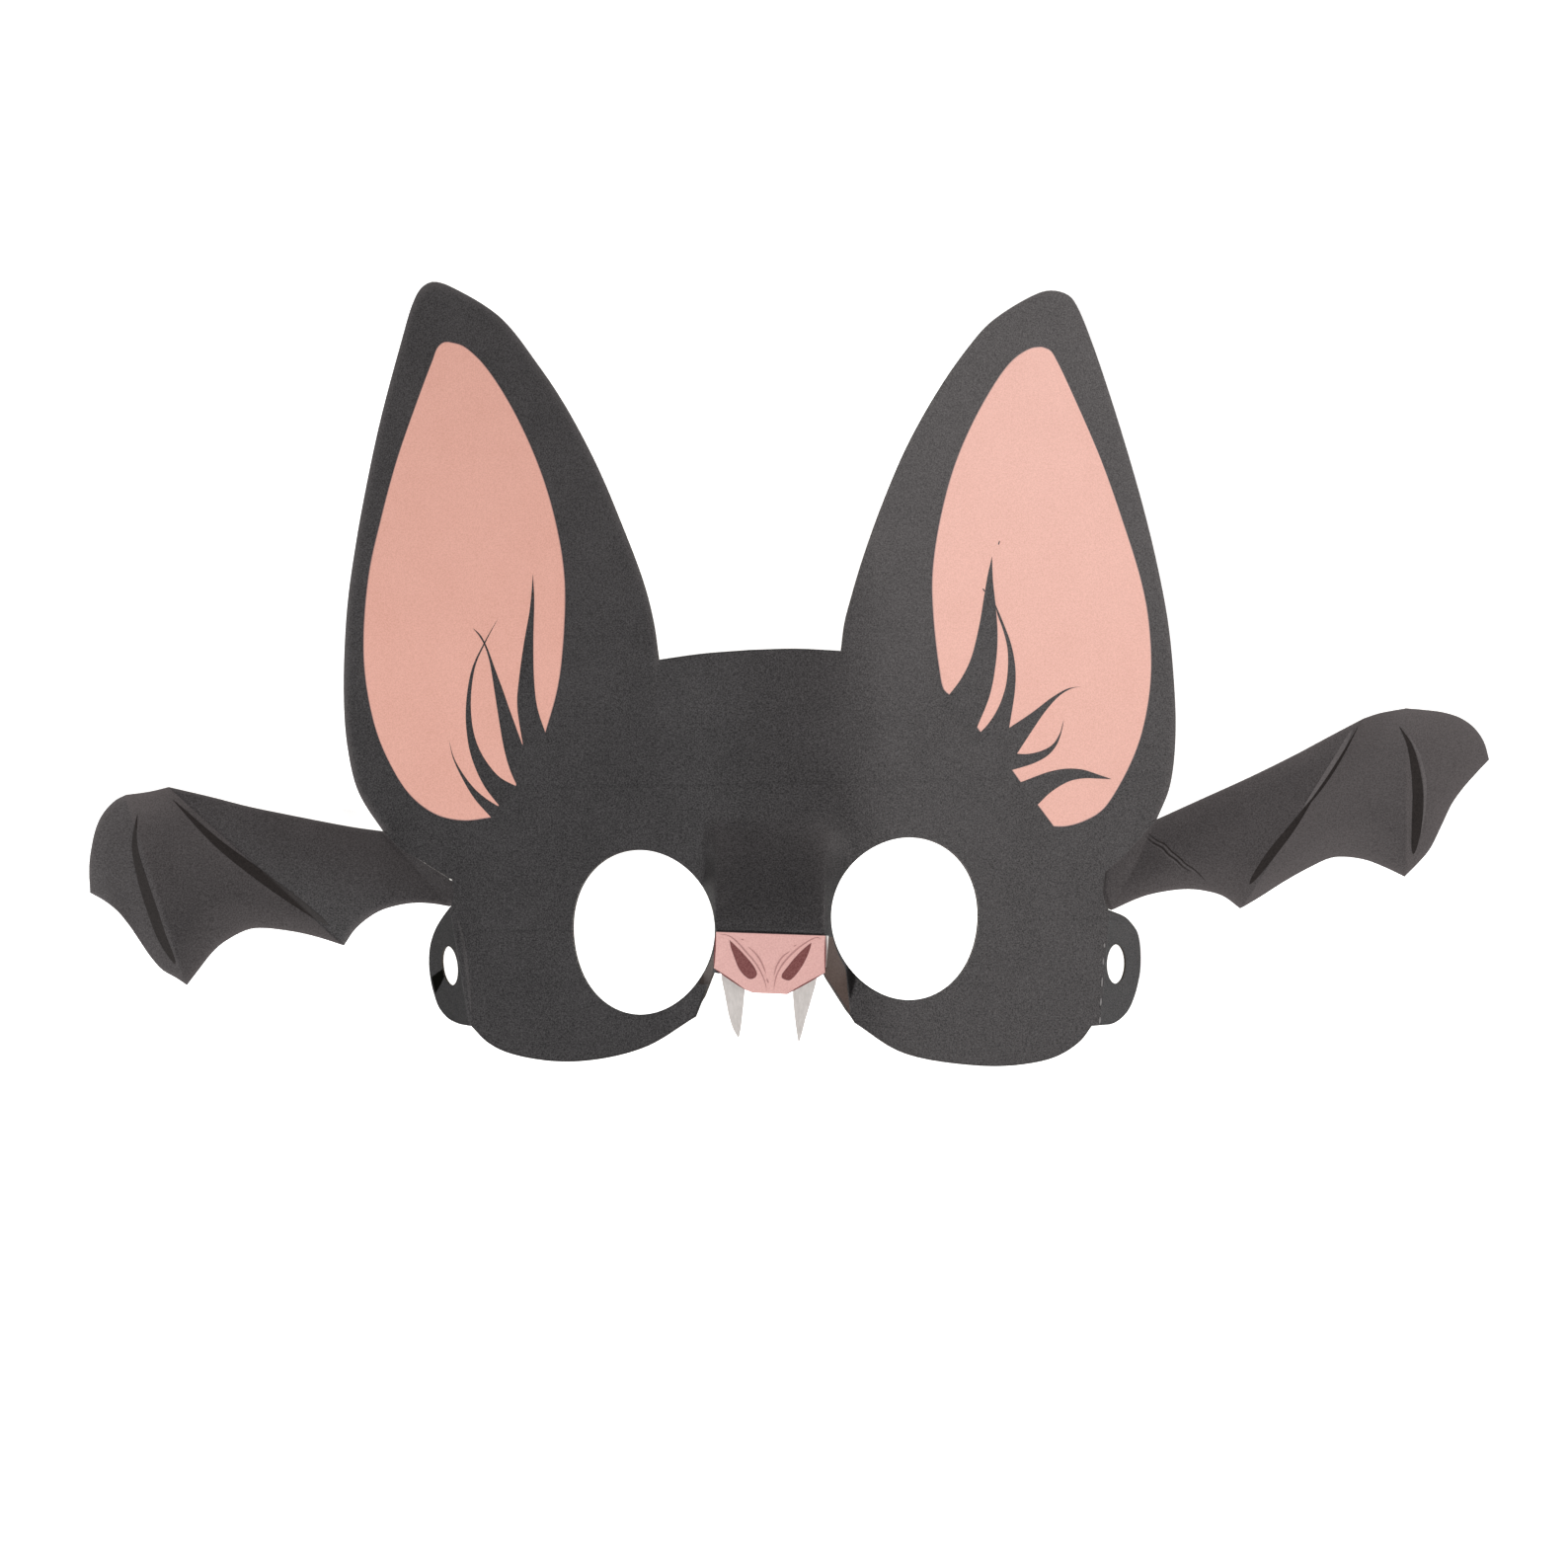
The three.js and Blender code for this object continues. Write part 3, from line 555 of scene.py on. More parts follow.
# Two sides of each tuft, from its tip to its base
EAR_HAIR = {
    "left": [
        {
            "low": [(-78.4, 44.3), (-77.5, 40.1), (-75.3, 35.3), (-72.2, 30.2), (-67.9, 25.4)],
            "high": [
                (-78.4, 44.3), (-77.3, 40.3), (-75.3, 36.6), (-72.2, 32.6), (-69.1, 30.0), (-65.8, 28.0),
            ],
        },
        {
            "low": [
                (-66.5, 73.5), (-70.0, 67.5), (-72.9, 61.2), (-74.3, 52.0), (-74.0, 45.4), (-72.9, 40.1),
                (-70.0, 33.5), (-65.8, 28.0),
            ],
            "high": [
                (-66.5, 73.5), (-69.7, 67.4), (-72.0, 62.1), (-73.1, 54.0), (-72.6, 47.1), (-71.3, 42.7),
                (-69.1, 38.8), (-66.0, 35.3), (-61.7, 33.0),
            ],
        },
        {
            "low": [
                (-72.6, 71.2), (-71.2, 69.5), (-69.9, 67.3), (-68.6, 63.4), (-67.3, 55.9), (-66.2, 48.9),
                (-64.9, 41.8), (-63.5, 37.0), (-61.7, 33.0),
            ],
            "high": [
                (-72.6, 71.2), (-70.9, 69.7), (-69.3, 66.9), (-67.3, 61.6), (-65.5, 56.8), (-63.3, 50.6),
                (-60.3, 42.4),
            ],
        },
        {
            "low": [
                (-58.0, 84.0), (-58.7, 76.0), (-60.2, 67.3), (-61.3, 59.4), (-61.8, 52.8), (-60.3, 42.4),
            ],
            "high": [
                (-58.0, 84.0), (-57.7, 77.8), (-57.9, 68.1), (-57.7, 58.5), (-56.9, 51.9), (-54.7, 45.2),
            ],
        },
    ],
    "right": [
        {
            "low": [
                (52.2, 88.4), (51.2, 84.1), (50.2, 78.4), (49.0, 71.4), (46.9, 63.4), (44.5, 58.7),
                (41.4, 54.6),
            ],
            "high": [
                (52.2, 88.4), (52.4, 82.7), (53.1, 76.1), (53.5, 69.6), (53.1, 63.0), (51.6, 55.0),
                (48.3, 46.8),
            ],
        },
        {
            "low": [
                (52.9, 77.1), (53.4, 74.7), (54.9, 70.5), (55.9, 66.3), (56.0, 61.6), (55.4, 56.9),
                (53.5, 51.7), (51.1, 48.0), (48.9, 45.7),
            ],
            "high": [(52.9, 77.1), (54.9, 72.4), (56.8, 67.2), (57.8, 61.6), (57.7, 56.4), (56.2, 46.7)],
        },
        {
            "low": [(73.7, 57.2), (70.6, 56.7), (66.8, 54.6), (62.0, 51.0), (55.9, 46.9)],
            "high": [(73.7, 57.2), (71.5, 56.7), (68.7, 55.1), (65.3, 51.5), (62.0, 46.8), (57.8, 40.4)],
        },
        {
            "low": [(69.5, 49.0), (68.6, 45.9), (66.7, 43.1), (63.9, 41.6), (60.6, 40.9), (57.6, 41.0)],
            "high": [(69.5, 49.0), (69.2, 47.1), (67.9, 43.3), (65.8, 40.7), (62.5, 38.8), (56.5, 36.9)],
        },
        {
            "low": [(81.1, 34.9), (78.1, 35.9), (74.3, 37.1), (70.5, 37.4), (66.2, 36.7), (58.7, 34.0)],
            "high": [(81.1, 34.9), (78.1, 35.0), (74.8, 35.1), (71.0, 34.4), (66.7, 32.0), (62.7, 28.3)],
        },
    ],
}

# Two short stray strokes beside the tallest tuft of the right ear
EAR_TICKS = [[(54.05, 92.2), (53.75, 91.1)], [(49.9, 80.7), (50.5, 79.8)]]

EAR_PINK = (0.68, 0.33, 0.255, 1), (0.82, 0.445, 0.365, 1)
PINK_FRINGE = (0.16, 0.09, 0.1, 1)
PALE_TONER_SPAN = (0.36, 0.64)
FRINGE_SHARE = 0.75


def colour_print(name, dark, light, fringe, fringe_width, gloss=0.3):
    """Coloured toner, also used for painted sheen and a painted reflection: even, faintly grained and
    cloudy, running into a fringe of another colour.
    """
    finish, tree, surface, place = new_finish(name, gloss)
    toner = noise(tree, place, TONER_GRAIN, TONER_DETAIL)
    tone = tone_of(tree, toner, PALE_TONER_SPAN, noise(tree, place, size_mm=11.0), TONER_CLOUD)
    colour = blend(tree, tone, dark, light)
    nearness = node(tree, "Attribute", attribute_name="edge").outputs["Fac"]
    share = spread(tree, nearness, EDGE_REACH - fringe_width, EDGE_REACH, 0, FRINGE_SHARE)
    tree.links.new(blend(tree, share, colour, fringe), surface.inputs["Base Color"])
    roughen(tree, surface, noise(tree, place, PAPER_TOOTH), depth_mm=0.008, low=0.42, high=0.5)
    return finish


def film(name, put, flats, finish, layer=0, marks=None, root=0.0):
    """Printed film on a card, also used for painted light and shade, from flat grids. put(x, y, lift) lays
    them on it. Later layers stand prouder.

    The root is the last share of each grid, over which it sinks into the card."""
    thickness = FILM["proud"] + layer * FILM["layer"] + FILM["sunk"]
    sheets = []
    for number, flat in enumerate(flats):
        stand = thickness + number * FILM["layer"]
        if root:
            stand = stand * ramp(1 - np.linspace(0, 1, len(flat)), 0, root)[:, None]
        sheets.append(put(flat[..., 0], flat[..., 1], stand - FILM["sunk"]))
    return card_piece(name, sheets, thickness, [finish] * 3, marks)


def on_face(x, y, lift):
    """Places on the front of the face card."""
    return on_surface(face_height, x, y, lift)


def filled(middle, outline, rings):
    """Flat grid of spokes from a middle point to a closed outline, and how near its points are to that."""
    hub = np.broadcast_to(np.array(middle, float), outline.shape)
    reach = np.linalg.norm(outline - hub, axis=1)[:, None] * (1 - np.linspace(0, 1, rings + 1)[None])
    return rulings(hub, outline, rings), EDGE_REACH - np.minimum(reach, EDGE_REACH)


def between(low, high, steps, columns):
    """Flat grid between two smooth lines, each cut into the same number of equal steps."""
    first, second = (smooth_line(side, SIDE_STEP) for side in (low, high))
    share = np.linspace(0, 1, steps + 1)
    first, second = (
        np.column_stack([np.interp(share, np.linspace(0, 1, len(line)), axis) for axis in line.T])
        for line in (first, second)
    )
    return rulings(first, second, columns)


def tapered(path, width, peak, columns, step=0.4):
    """Flat ribbon along a smooth path.

    Its width swells from nothing to its full size at the peak, a share of its length, and back to nothing.
    The swell is a product of two powers, of the shares of the way to the peak and on from it."""
    line = smooth_line(path, step)
    run = np.gradient(line, axis=0)
    across = np.column_stack([-run[:, 1], run[:, 0]]) / np.linalg.norm(run, axis=1, keepdims=True)
    share = np.linspace(0, 1, len(line))
    swell = (share / peak) ** (TAPER * peak) * ((1 - share) / (1 - peak)) ** (TAPER * (1 - peak))
    half = across * (width / 2 * swell)[:, None]
    return rulings(line - half, line + half, columns)


def rooted(flat):
    """Grid of a tuft with a few more rows that carry its columns straight on past its base."""
    onward = flat[-1] - flat[-2]
    onward /= np.linalg.norm(onward, axis=-1, keepdims=True)
    lengths = np.linspace(0, HAIR_ROOT, ROOT_ROWS + 1)[1:, None, None]
    return np.concatenate([flat, flat[-1] + lengths * onward])


def straight_sides(corners, step):
    """Straight lines from corner to corner in equal steps, without the last corner."""
    return np.vstack([equal_steps(np.array(side), step)[:-1] for side in zip(corners, corners[1:])])


pink_print = colour_print("ear_pink_print", *EAR_PINK, PINK_FRINGE, fringe_width=0.3, gloss=0.92)
for side, panel in EAR_PANELS.items():
    outer, inner = (smooth_line(panel[part], PRINT_STEP) for part in ("outer", "inner"))
    outline = np.vstack([outer[:-1], inner[:-1], straight_sides(panel["base"], PRINT_STEP), outer[:1]])
    flat, nearness = filled(panel["middle"], outline, PANEL_RINGS)
    panel_film = film(f"ear_panel_{side}", on_face, [flat], pink_print, marks={"edge": [nearness]})
    tufts = [between(tuft["low"], tuft["high"], HAIR_STEPS, HAIR_COLUMNS) for tuft in EAR_HAIR[side]]
    tufts = [rooted(tuft) for tuft in tufts]
    root = ROOT_ROWS / (HAIR_STEPS + ROOT_ROWS)
    hair_film = film(f"ear_hair_{side}", on_face, tufts, face_print, layer=2, root=root)
ticks = [tapered(tick, width=0.3, peak=0.5, columns=2, step=0.1) for tick in EAR_TICKS]
tick_film = film("ear_ticks", on_face, ticks, face_print, layer=2)

# Tie tabs
# A round-ended tab of the same card on each side of the face, bent back along a perforated fold.
# Each has a punched hole for an elastic or a string, and its end stands on the table.

TAB_HOLE = 4.75
TAB_BEND = 0.9  # radius that the card is bent round at the fold
TAB_STEP = 0.7
TAB_RINGS = 16
TAB_RIM = -1.0
HANDS = {"left": -1, "right": 1}  # which way along x is outward

# Places on a tab are the distance from the fold, then the place along the fold towards the ears
# Each tab is darkened round the bend by painted shade, to the amount given for it.
TABS = {
    "left": {
        "angle": radians(65),
        "shade_depth": 0.62,
        "hole": (6.4, 1.1),
        "edge": [
            (0.0, 14.7), (5.8, 13.0), (11.0, 11.0), (14.7, 8.7), (17.1, 6.1), (18.6, 2.7), (18.9, -0.9),
            (18.3, -4.0), (17.0, -7.1), (12.8, -10.6), (7.2, -12.9), (0.0, -14.7),
        ],
    },
    "right": {
        "angle": radians(60),
        "shade_depth": 0.36,
        "hole": (6.0, 1.7),
        "edge": [
            (0.0, 14.05), (8.4, 13.5), (11.7, 12.5), (14.9, 10.9), (16.5, 8.9), (17.7, 5.5), (18.1, 1.9),
            (17.5, -1.6), (16.3, -4.9), (14.2, -8.1), (11.1, -10.6), (6.7, -12.7), (0.0, -14.05),
        ],
    },
}


def tab_frame(side):
    """Middle of a tab's fold, and directions along the fold, out level with the face, and down the tab."""
    ends = np.array(FACE_HALVES[side]["tab fold"])
    upper, lower = (np.array([x, y, face_height(x, y)]) for x, y in ends)
    fold = (upper - lower) / np.linalg.norm(upper - lower)

    def square_to_fold(angle):
        outward = np.array([HANDS[side] * cos(angle), 0, -sin(angle)])
        outward -= outward.dot(fold) * fold
        return outward / np.linalg.norm(outward)

    return (upper + lower) / 2, fold, square_to_fold(BOW_SLOPE), square_to_fold(TABS[side]["angle"])


def on_tab(side):
    """Lays flat places on a tab.

    The distance from the fold first turns round an arc that leaves the face level with it, then runs
    straight down the tab. A lift raises the place square to the card."""
    middle, fold, level, reach = tab_frame(side)
    inward = reach - reach.dot(level) * level
    inward /= np.linalg.norm(inward)
    turn = np.arccos(reach.dot(level))

    def put(away, along, lift):
        bent = np.clip(away / TAB_BEND, 0, turn)[..., None]
        arc = np.sin(bent) * level + (1 - np.cos(bent)) * inward
        rise = np.sin(bent) * level - np.cos(bent) * inward
        straight = (away[..., None] - TAB_BEND * bent) * reach
        return middle + along[..., None] * fold + TAB_BEND * arc + straight + lift * rise

    return put


def tab_grid(side):
    """Front of a tab: spokes from its round hole to its outline, stretched so that its end meets the table.

    The marks are nearness to the cut edge, its wear and dark rim, and painted shade that deepens round the
    bend. The fold is no cut edge."""
    middle, fold, _, reach = tab_frame(side)
    edge = smooth_line(TABS[side]["edge"], TAB_STEP)
    drop = middle[2] - CARD * abs(np.cross(reach, fold)[2])
    edge[:, 0] *= np.min((drop + edge[1:-1, 1] * fold[2]) / (-reach[2] * edge[1:-1, 0]))
    outline = np.vstack([edge, equal_steps(edge[[-1, 0]], TAB_STEP)[1:]])
    centre = np.array(TABS[side]["hole"])
    spoke = outline - centre
    hole = centre + TAB_HOLE * spoke / np.linalg.norm(spoke, axis=1, keepdims=True)
    flat = rulings(hole, outline, TAB_RINGS)
    length = np.linalg.norm(outline - hole, axis=1)[:, None]
    share = np.linspace(0, 1, TAB_RINGS + 1)[None]
    on_fold = outline[:, :1] < 0.01
    to_outline = length * (1 - share) + np.where(on_fold, EDGE_REACH, 0)
    nearness = EDGE_REACH - np.minimum(np.minimum(to_outline, length * share), EDGE_REACH)
    painted_shade = TABS[side]["shade_depth"] * ramp(flat[..., 0], 0, TAB_BEND)
    wear, rim = (np.full(nearness.shape, amount) for amount in (OTHER_WEAR, TAB_RIM))
    marks = {"edge": [nearness], "painted_shade": [painted_shade], "wear": [wear], "rim": [rim]}
    return on_tab(side)(flat[..., 0], flat[..., 1], 0.0), marks


for side in HANDS:
    grid, marks = tab_grid(side)
    tab = card_piece(f"tie_tab_{side}", [grid], CARD, [face_print, back_card, cut_edge], marks)
    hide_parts(f"tab_{side}")

# Fold marks and painted light
# Traces of folding and cutting: short slits of the perforation that show bare card on the right and a nick
# at the left slit's end. Painted light: a painted highlight along the fold on the left, and a painted dark
# reflection in a streak on the left tab.

PERFORATIONS = [
    [(79.4, -4.6), (79.35, -5.7)],
    [(79.15, -8.2), (79.05, -9.9)],
    [(78.85, -12.8), (78.7, -15.2)],
    [(78.55, -17.8), (78.4, -19.7)],
    [(78.3, -22.3), (78.15, -24.0)],
]
FOLD_HIGHLIGHT = [(-76.6, 2.4), (-75.0, -3.8), (-74.2, -9.1), (-73.6, -15.0), (-72.9, -21.3)]
SLIT_NICK = [(-78.4, 10.95), (-77.6, 10.45)]
GREY_CARD = (0.17, 0.16, 0.16, 1), (0.27, 0.26, 0.26, 1)
DARK_REFLECTION = (0.002, 0.002, 0.0015, 1), (0.005, 0.005, 0.004, 1)

# Places on the tab of the painted dark reflection: the distance from the fold, then the place along it
STREAK = {"low": [(11.0, 1.0), (14.5, 0.7), (18.4, 0.2)], "high": [(10.9, -0.9), (14.0, -2.4), (17.8, -3.8)]}


def highlight_film(name, put, flats, scuff_and_light):
    """Film of the black print painted lighter all over by one amount: a painted highlight."""
    highlight_shares = [np.full(flat.shape[:2], scuff_and_light) for flat in flats]
    return film(name, put, flats, face_print, marks={"scuff_and_light": highlight_shares})


grey_card = bare_card("perforated_card", *GREY_CARD)
cuts = [tapered(slit, width=0.36, peak=0.5, columns=2, step=0.2) for slit in PERFORATIONS]
slits = film("perforation", on_face, cuts, grey_card)
nick_cut = tapered(SLIT_NICK, width=0.36, peak=0.5, columns=3, step=0.2)
nick = film("slit_nick", on_face, [nick_cut], back_card)
# Painted highlight: a lighter band along the rounded fold of the left tab.
fold_highlight_line = tapered(FOLD_HIGHLIGHT, width=1.0, peak=0.55, columns=6)
lightened = highlight_film("fold_painted_highlight", on_face, [fold_highlight_line], scuff_and_light=0.2)
# Painted reflection: a dark glossy band on the left tab, in near-black.
dark_reflection_paint = colour_print("tab_painted_dark_reflection", *DARK_REFLECTION, BLACK_DARK, fringe_width=0.02, gloss=0.0)
reflection_flat = between(STREAK["low"], STREAK["high"], steps=20, columns=8)
reflection_streak = film("tab_dark_reflection", on_tab("left"), [reflection_flat], dark_reflection_paint)

# Wings
# One creased card wing on each side, printed black with two darker bones along its creases.
# Its root is glued flat behind the slit edge of the face, and the panels between the creases are straight.

WING_ROWS = 40
WING_STEPS = 44
WING_STEP = 0.25
WING_RIM = 0.85
LIGHTENING_REACH = 10.0

# Newton's steps that find a place on a panel: their number, the nudge that gives slopes, the longest step,
# and how near a place has to come
SEARCH = {"rounds": 20, "nudge": 1e-3, "longest": 0.3, "near": 0.02}

# Upper and lower end of each crease with their heights. Rows without heights lie on the back of the face.
# The paths are the places that the edges pass from the crease before. The scuff is painted light: how much
# lighter grey the panel is at the top and the bottom of its start, then of its end. More lightening is added
# near its cut edges.
WINGS = {
    "left": [
        {"top": (-88.0, 24.0), "low": (-71.0, 6.5)},
        {"top": (-94.6, 22.3), "low": (-78.4, 4.3), "scuff_and_light": ((0.3, 0.2), (0.4, 0.2)), "lightening": 0.0},
        {
            "top": (-146.5, 33.0), "low": (-104.1, -5.3), "heights": (4.0, 5.5),
            "scuff_and_light": ((0.53, 0.22), (0.22, 0.0)), "lightening": 0.0,
            "top_path": [(-101.8, 23.3), (-119.0, 26.6), (-127.6, 28.4), (-136.2, 30.6)],
            "low_path": [
                (-82.5, 4.9), (-87.0, 5.0), (-91.0, 4.4), (-95.2, 3.1), (-98.9, 0.8), (-101.7, -1.8),
            ],
        },
        {
            "top": (-156.7, 31.1), "low": (-142.0, -14.9), "heights": (7.5, 6.0),
            "scuff_and_light": ((0.55, 0.45), (0.55, 0.05)), "lightening": 0.4,
            "top_path": [(-151.0, 31.9)],
            "low_path": [
                (-110.4, -3.3), (-116.1, -2.0), (-124.3, -1.1), (-127.6, -1.6), (-133.3, -4.7),
                (-136.2, -7.4), (-139.0, -11.0),
            ],
        },
        {
            "top": (-165.6, 7.4), "low": (-165.6, 7.4), "heights": (2.5, 2.5),
            "scuff_and_light": ((0.33, 0.33), (0.3, 0.3)), "lightening": 0.12,
            "top_path": [(-159.2, 29.8), (-162.1, 26.9), (-164.0, 23.2), (-165.5, 16.5), (-165.8, 12.5)],
            "low_path": [
                (-144.7, -13.1), (-148.0, -11.2), (-150.8, -8.1), (-156.2, -0.3), (-159.1, 3.1),
                (-162.2, 5.5),
            ],
        },
    ],
    "right": [
        {"top": (85.0, 27.0), "low": (74.0, 6.0)},
        {"top": (92.3, 25.2), "low": (81.2, 3.4), "scuff_and_light": ((0.25, 0.25), (0.4, 0.45)), "lightening": 0.0},
        {
            "top": (142.4, 49.6), "low": (112.5, 3.6), "heights": (4.0, 5.0),
            "scuff_and_light": ((0.3, 0.37), (0.38, 0.38)), "lightening": 0.3,
            "top_path": [(102.9, 30.0), (114.4, 35.2), (125.8, 40.8), (134.4, 45.4)],
            "low_path": [(88.3, 6.4), (94.3, 7.8), (99.5, 8.3), (103.8, 7.9), (108.3, 6.6)],
        },
        {
            "top": (152.4, 52.0), "low": (152.1, 11.3), "heights": (8.0, 7.0),
            "scuff_and_light": ((0.7, 0.82), (0.68, 0.42)), "lightening": 0.25,
            "top_path": [(146.0, 50.8)],
            "low_path": [
                (117.2, 6.4), (123.0, 10.1), (128.7, 13.3), (134.2, 15.8), (137.3, 16.1), (142.5, 15.4),
                (147.3, 13.6),
            ],
        },
        {
            "top": (172.8, 39.6), "low": (172.8, 39.6), "heights": (2.5, 2.5),
            "scuff_and_light": ((0.72, 0.72), (0.7, 0.7)), "lightening": 0.15,
            "top_path": [(157.3, 51.6), (161.7, 51.0), (165.9, 49.6), (169.1, 47.3), (171.5, 43.9)],
            "low_path": [
                (155.8, 15.0), (158.3, 18.0), (161.1, 23.6), (163.8, 29.1), (166.2, 32.4), (169.0, 35.6),
            ],
        },
    ],
}


def edge_place(start, end, path, along):
    """Places on an edge at shares of its length.

    The edge is the smooth line that passes the path's places. Past its ends it goes on along its chord."""
    line = smooth_line([start, *path, end], WING_STEP)
    place = np.stack([np.interp(along, np.linspace(0, 1, len(line)), axis) for axis in line.T], axis=-1)
    return place + (along - np.clip(along, 0, 1))[..., None] * (line[-1] - line[0])


def crease_heights(crease):
    """Heights of the two ends of a crease: its own, or just clear of the back of the face."""
    if "heights" in crease:
        return crease["heights"]
    behind = (CARD + GLUE_GAP) / cos(BOW_SLOPE)
    return [float(face_height(*np.array(crease[end]))) - behind for end in ("top", "low")]


def wing_panel(before, after, along, down):
    """Panel between two creases: a share along it and a share down it.

    The upper and lower edges are followed side by side, and a straight ruling joins them. Heights change
    evenly from crease to crease and down each ruling."""
    top = edge_place(before["top"], after["top"], after.get("top_path", []), along)
    low = edge_place(before["low"], after["low"], after.get("low_path", []), along)
    (top_start, low_start), (top_end, low_end) = crease_heights(before), crease_heights(after)
    top_height = top_start + along * (top_end - top_start)
    low_height = low_start + along * (low_end - low_start)
    flat = top + down[..., None] * (low - top)
    return np.concatenate([flat, (top_height + down * (low_height - top_height))[..., None]], axis=-1)


def on_wing(creases):
    """Lays flat places on a wing.

    Each panel is solved for the shares along and down it that give the place, by Newton's steps, and the
    panel in which the place falls gives the height."""

    def height(x, y):
        found = np.full(x.shape, np.nan)
        nudge, longest = SEARCH["nudge"], SEARCH["longest"]
        for before, after in zip(creases, creases[1:]):
            along, down = np.full(x.shape, 0.5), np.full(x.shape, 0.5)
            for _ in range(SEARCH["rounds"]):
                here = wing_panel(before, after, along, down)
                by_along = (wing_panel(before, after, along + nudge, down) - here) / nudge
                by_down = (wing_panel(before, after, along, down + nudge) - here) / nudge
                miss_x, miss_y = x - here[..., 0], y - here[..., 1]
                area = by_along[..., 0] * by_down[..., 1] - by_along[..., 1] * by_down[..., 0]
                area = np.where(np.abs(area) < 1e-6, 1e-6, area)
                further = (miss_x * by_down[..., 1] - miss_y * by_down[..., 0]) / area
                lower = (by_along[..., 0] * miss_y - by_along[..., 1] * miss_x) / area
                along = along + np.clip(further, -longest, longest)
                down = down + np.clip(lower, -longest, longest)
            here = wing_panel(before, after, along, down)
            missed = np.hypot(here[..., 0] - x, here[..., 1] - y)
            inside = (missed < SEARCH["near"]) & (along > -nudge) & (along < 1 + nudge)
            found = np.where(inside & np.isnan(found), here[..., 2], found)
        return found

    return lambda x, y, lift: on_surface(height, x, y, lift)


def wing_marks(panel, after, along, down):
    """Marks of a panel: painted light that changes evenly over it, more lightening near its edges, nearness,
    and rim.
    """
    (start_top, start_low), (end_top, end_low) = after["scuff_and_light"]
    top = start_top + along * (end_top - start_top)
    low = start_low + along * (end_low - start_low)
    to_edge = np.minimum(down, 1 - down) * np.linalg.norm(panel[:, -1] - panel[:, 0], axis=1)[:, None]
    scuff_and_light = top + down * (low - top) + after["lightening"] * ramp(to_edge, LIGHTENING_REACH, 0)
    nearness = EDGE_REACH - np.minimum(to_edge, EDGE_REACH)
    return {"scuff_and_light": scuff_and_light, "edge": nearness, "rim": np.full(down.shape, WING_RIM)}


wing_print = black_print("wing_black_print", gloss=0.15)
for side, creases in WINGS.items():
    shares = np.linspace(0, 1, WING_STEPS + 1), np.linspace(0, 1, WING_ROWS + 1)
    along, down = np.meshgrid(*shares, indexing="ij")
    pairs = list(zip(creases, creases[1:]))
    panels = [wing_panel(before, after, along, down) for before, after in pairs]
    marks = [wing_marks(panel, after, along, down) for panel, (_, after) in zip(panels, pairs)]
    marks = {name: [panel[name] for panel in marks] for name in marks[0]}
    wing = card_piece(f"card_wing_{side}", panels, CARD, [wing_print, back_card, cut_edge], marks)
    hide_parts(f"wing_{side}")

# Wing bones
# Two dark bones printed on each wing, tapered at both ends and bowed beside the creases.
# The right wing also has a crumpled double crease near its root, drawn as a painted highlight on each crest
# with painted shade beside it, and painted highlights on the pale side of two of its bones' creases.

BONE_BROWN = (0.016, 0.0135, 0.0128, 1), (0.032, 0.027, 0.0258, 1)
BONE_PEAK = 0.62

# The first bone of the right wing goes on in a thin stroke of its own
BONES = {
    "left": [
        {
            "path": [(-145.5, 29.9), (-134.6, 19.4), (-124.3, 11.5), (-115.4, 5.1), (-107.8, -0.4)],
            "width": 2.6,
        },
        {
            "path": [
                (-153.9, 26.5), (-154.6, 19.1), (-152.9, 11.2), (-150.4, 3.3), (-147.9, -3.7),
                (-144.8, -9.8),
            ],
            "width": 2.5,
        },
    ],
    "right": [
        {"path": [(130.6, 31.0), (125.1, 23.3), (120.0, 16.8), (114.7, 9.5)], "width": 2.1},
        {"path": [(140.9, 47.3), (138.0, 42.0), (134.0, 35.5), (129.0, 28.6)], "width": 0.75},
        {
            "path": [
                (150.8, 47.7), (153.2, 43.2), (154.7, 37.2), (155.3, 31.3), (155.0, 23.3), (154.2, 16.7),
            ],
            "width": 2.6,
        },
    ],
}
CREASE_HIGHLIGHTS = [
    {"path": [(139.6, 46.9), (136.0, 40.3), (131.9, 33.9), (127.2, 27.2)], "width": 1.3},
    {"path": [(153.0, 46.0), (155.9, 39.6), (157.05, 33.3), (156.9, 27.3), (155.9, 20.5)], "width": 0.8},
]
CRUMPLES = [
    [
        (89.7, 21.6), (91.9, 19.8), (93.9, 18.8), (95.5, 17.1), (97.4, 15.6), (98.9, 14.1), (101.1, 12.6),
        (103.9, 9.8),
    ],
    [(89.1, 20.9), (91.2, 19.1), (93.2, 18.0), (94.8, 16.3), (96.7, 14.9), (98.2, 13.4), (100.2, 12.1)],
]
# The painted shade beside each crumpled crest lies this far from its painted highlight.
FURROW_OFFSET = (0.3, 0.35)  # a dark furrow lies beside each crumpled crest

bone_print_and_shade = colour_print("bone_brown_print_and_shade", *BONE_BROWN, BLACK_DARK, fringe_width=0.2, gloss=0.1)
for side, bones in BONES.items():
    flats = [tapered(bone["path"], bone["width"], BONE_PEAK, columns=8) for bone in bones]
    bone_film = film(f"wing_bones_{side}", on_wing(WINGS[side]), flats, bone_print_and_shade, layer=2)
# Painted highlights: lighter films on the pale side of two bone creases of the right wing.
ridges = [tapered(ridge["path"], ridge["width"], peak=0.4, columns=5) for ridge in CREASE_HIGHLIGHTS]
crease_highlight = highlight_film("wing_crease_highlight", on_wing(WINGS["right"]), ridges, scuff_and_light=0.85)
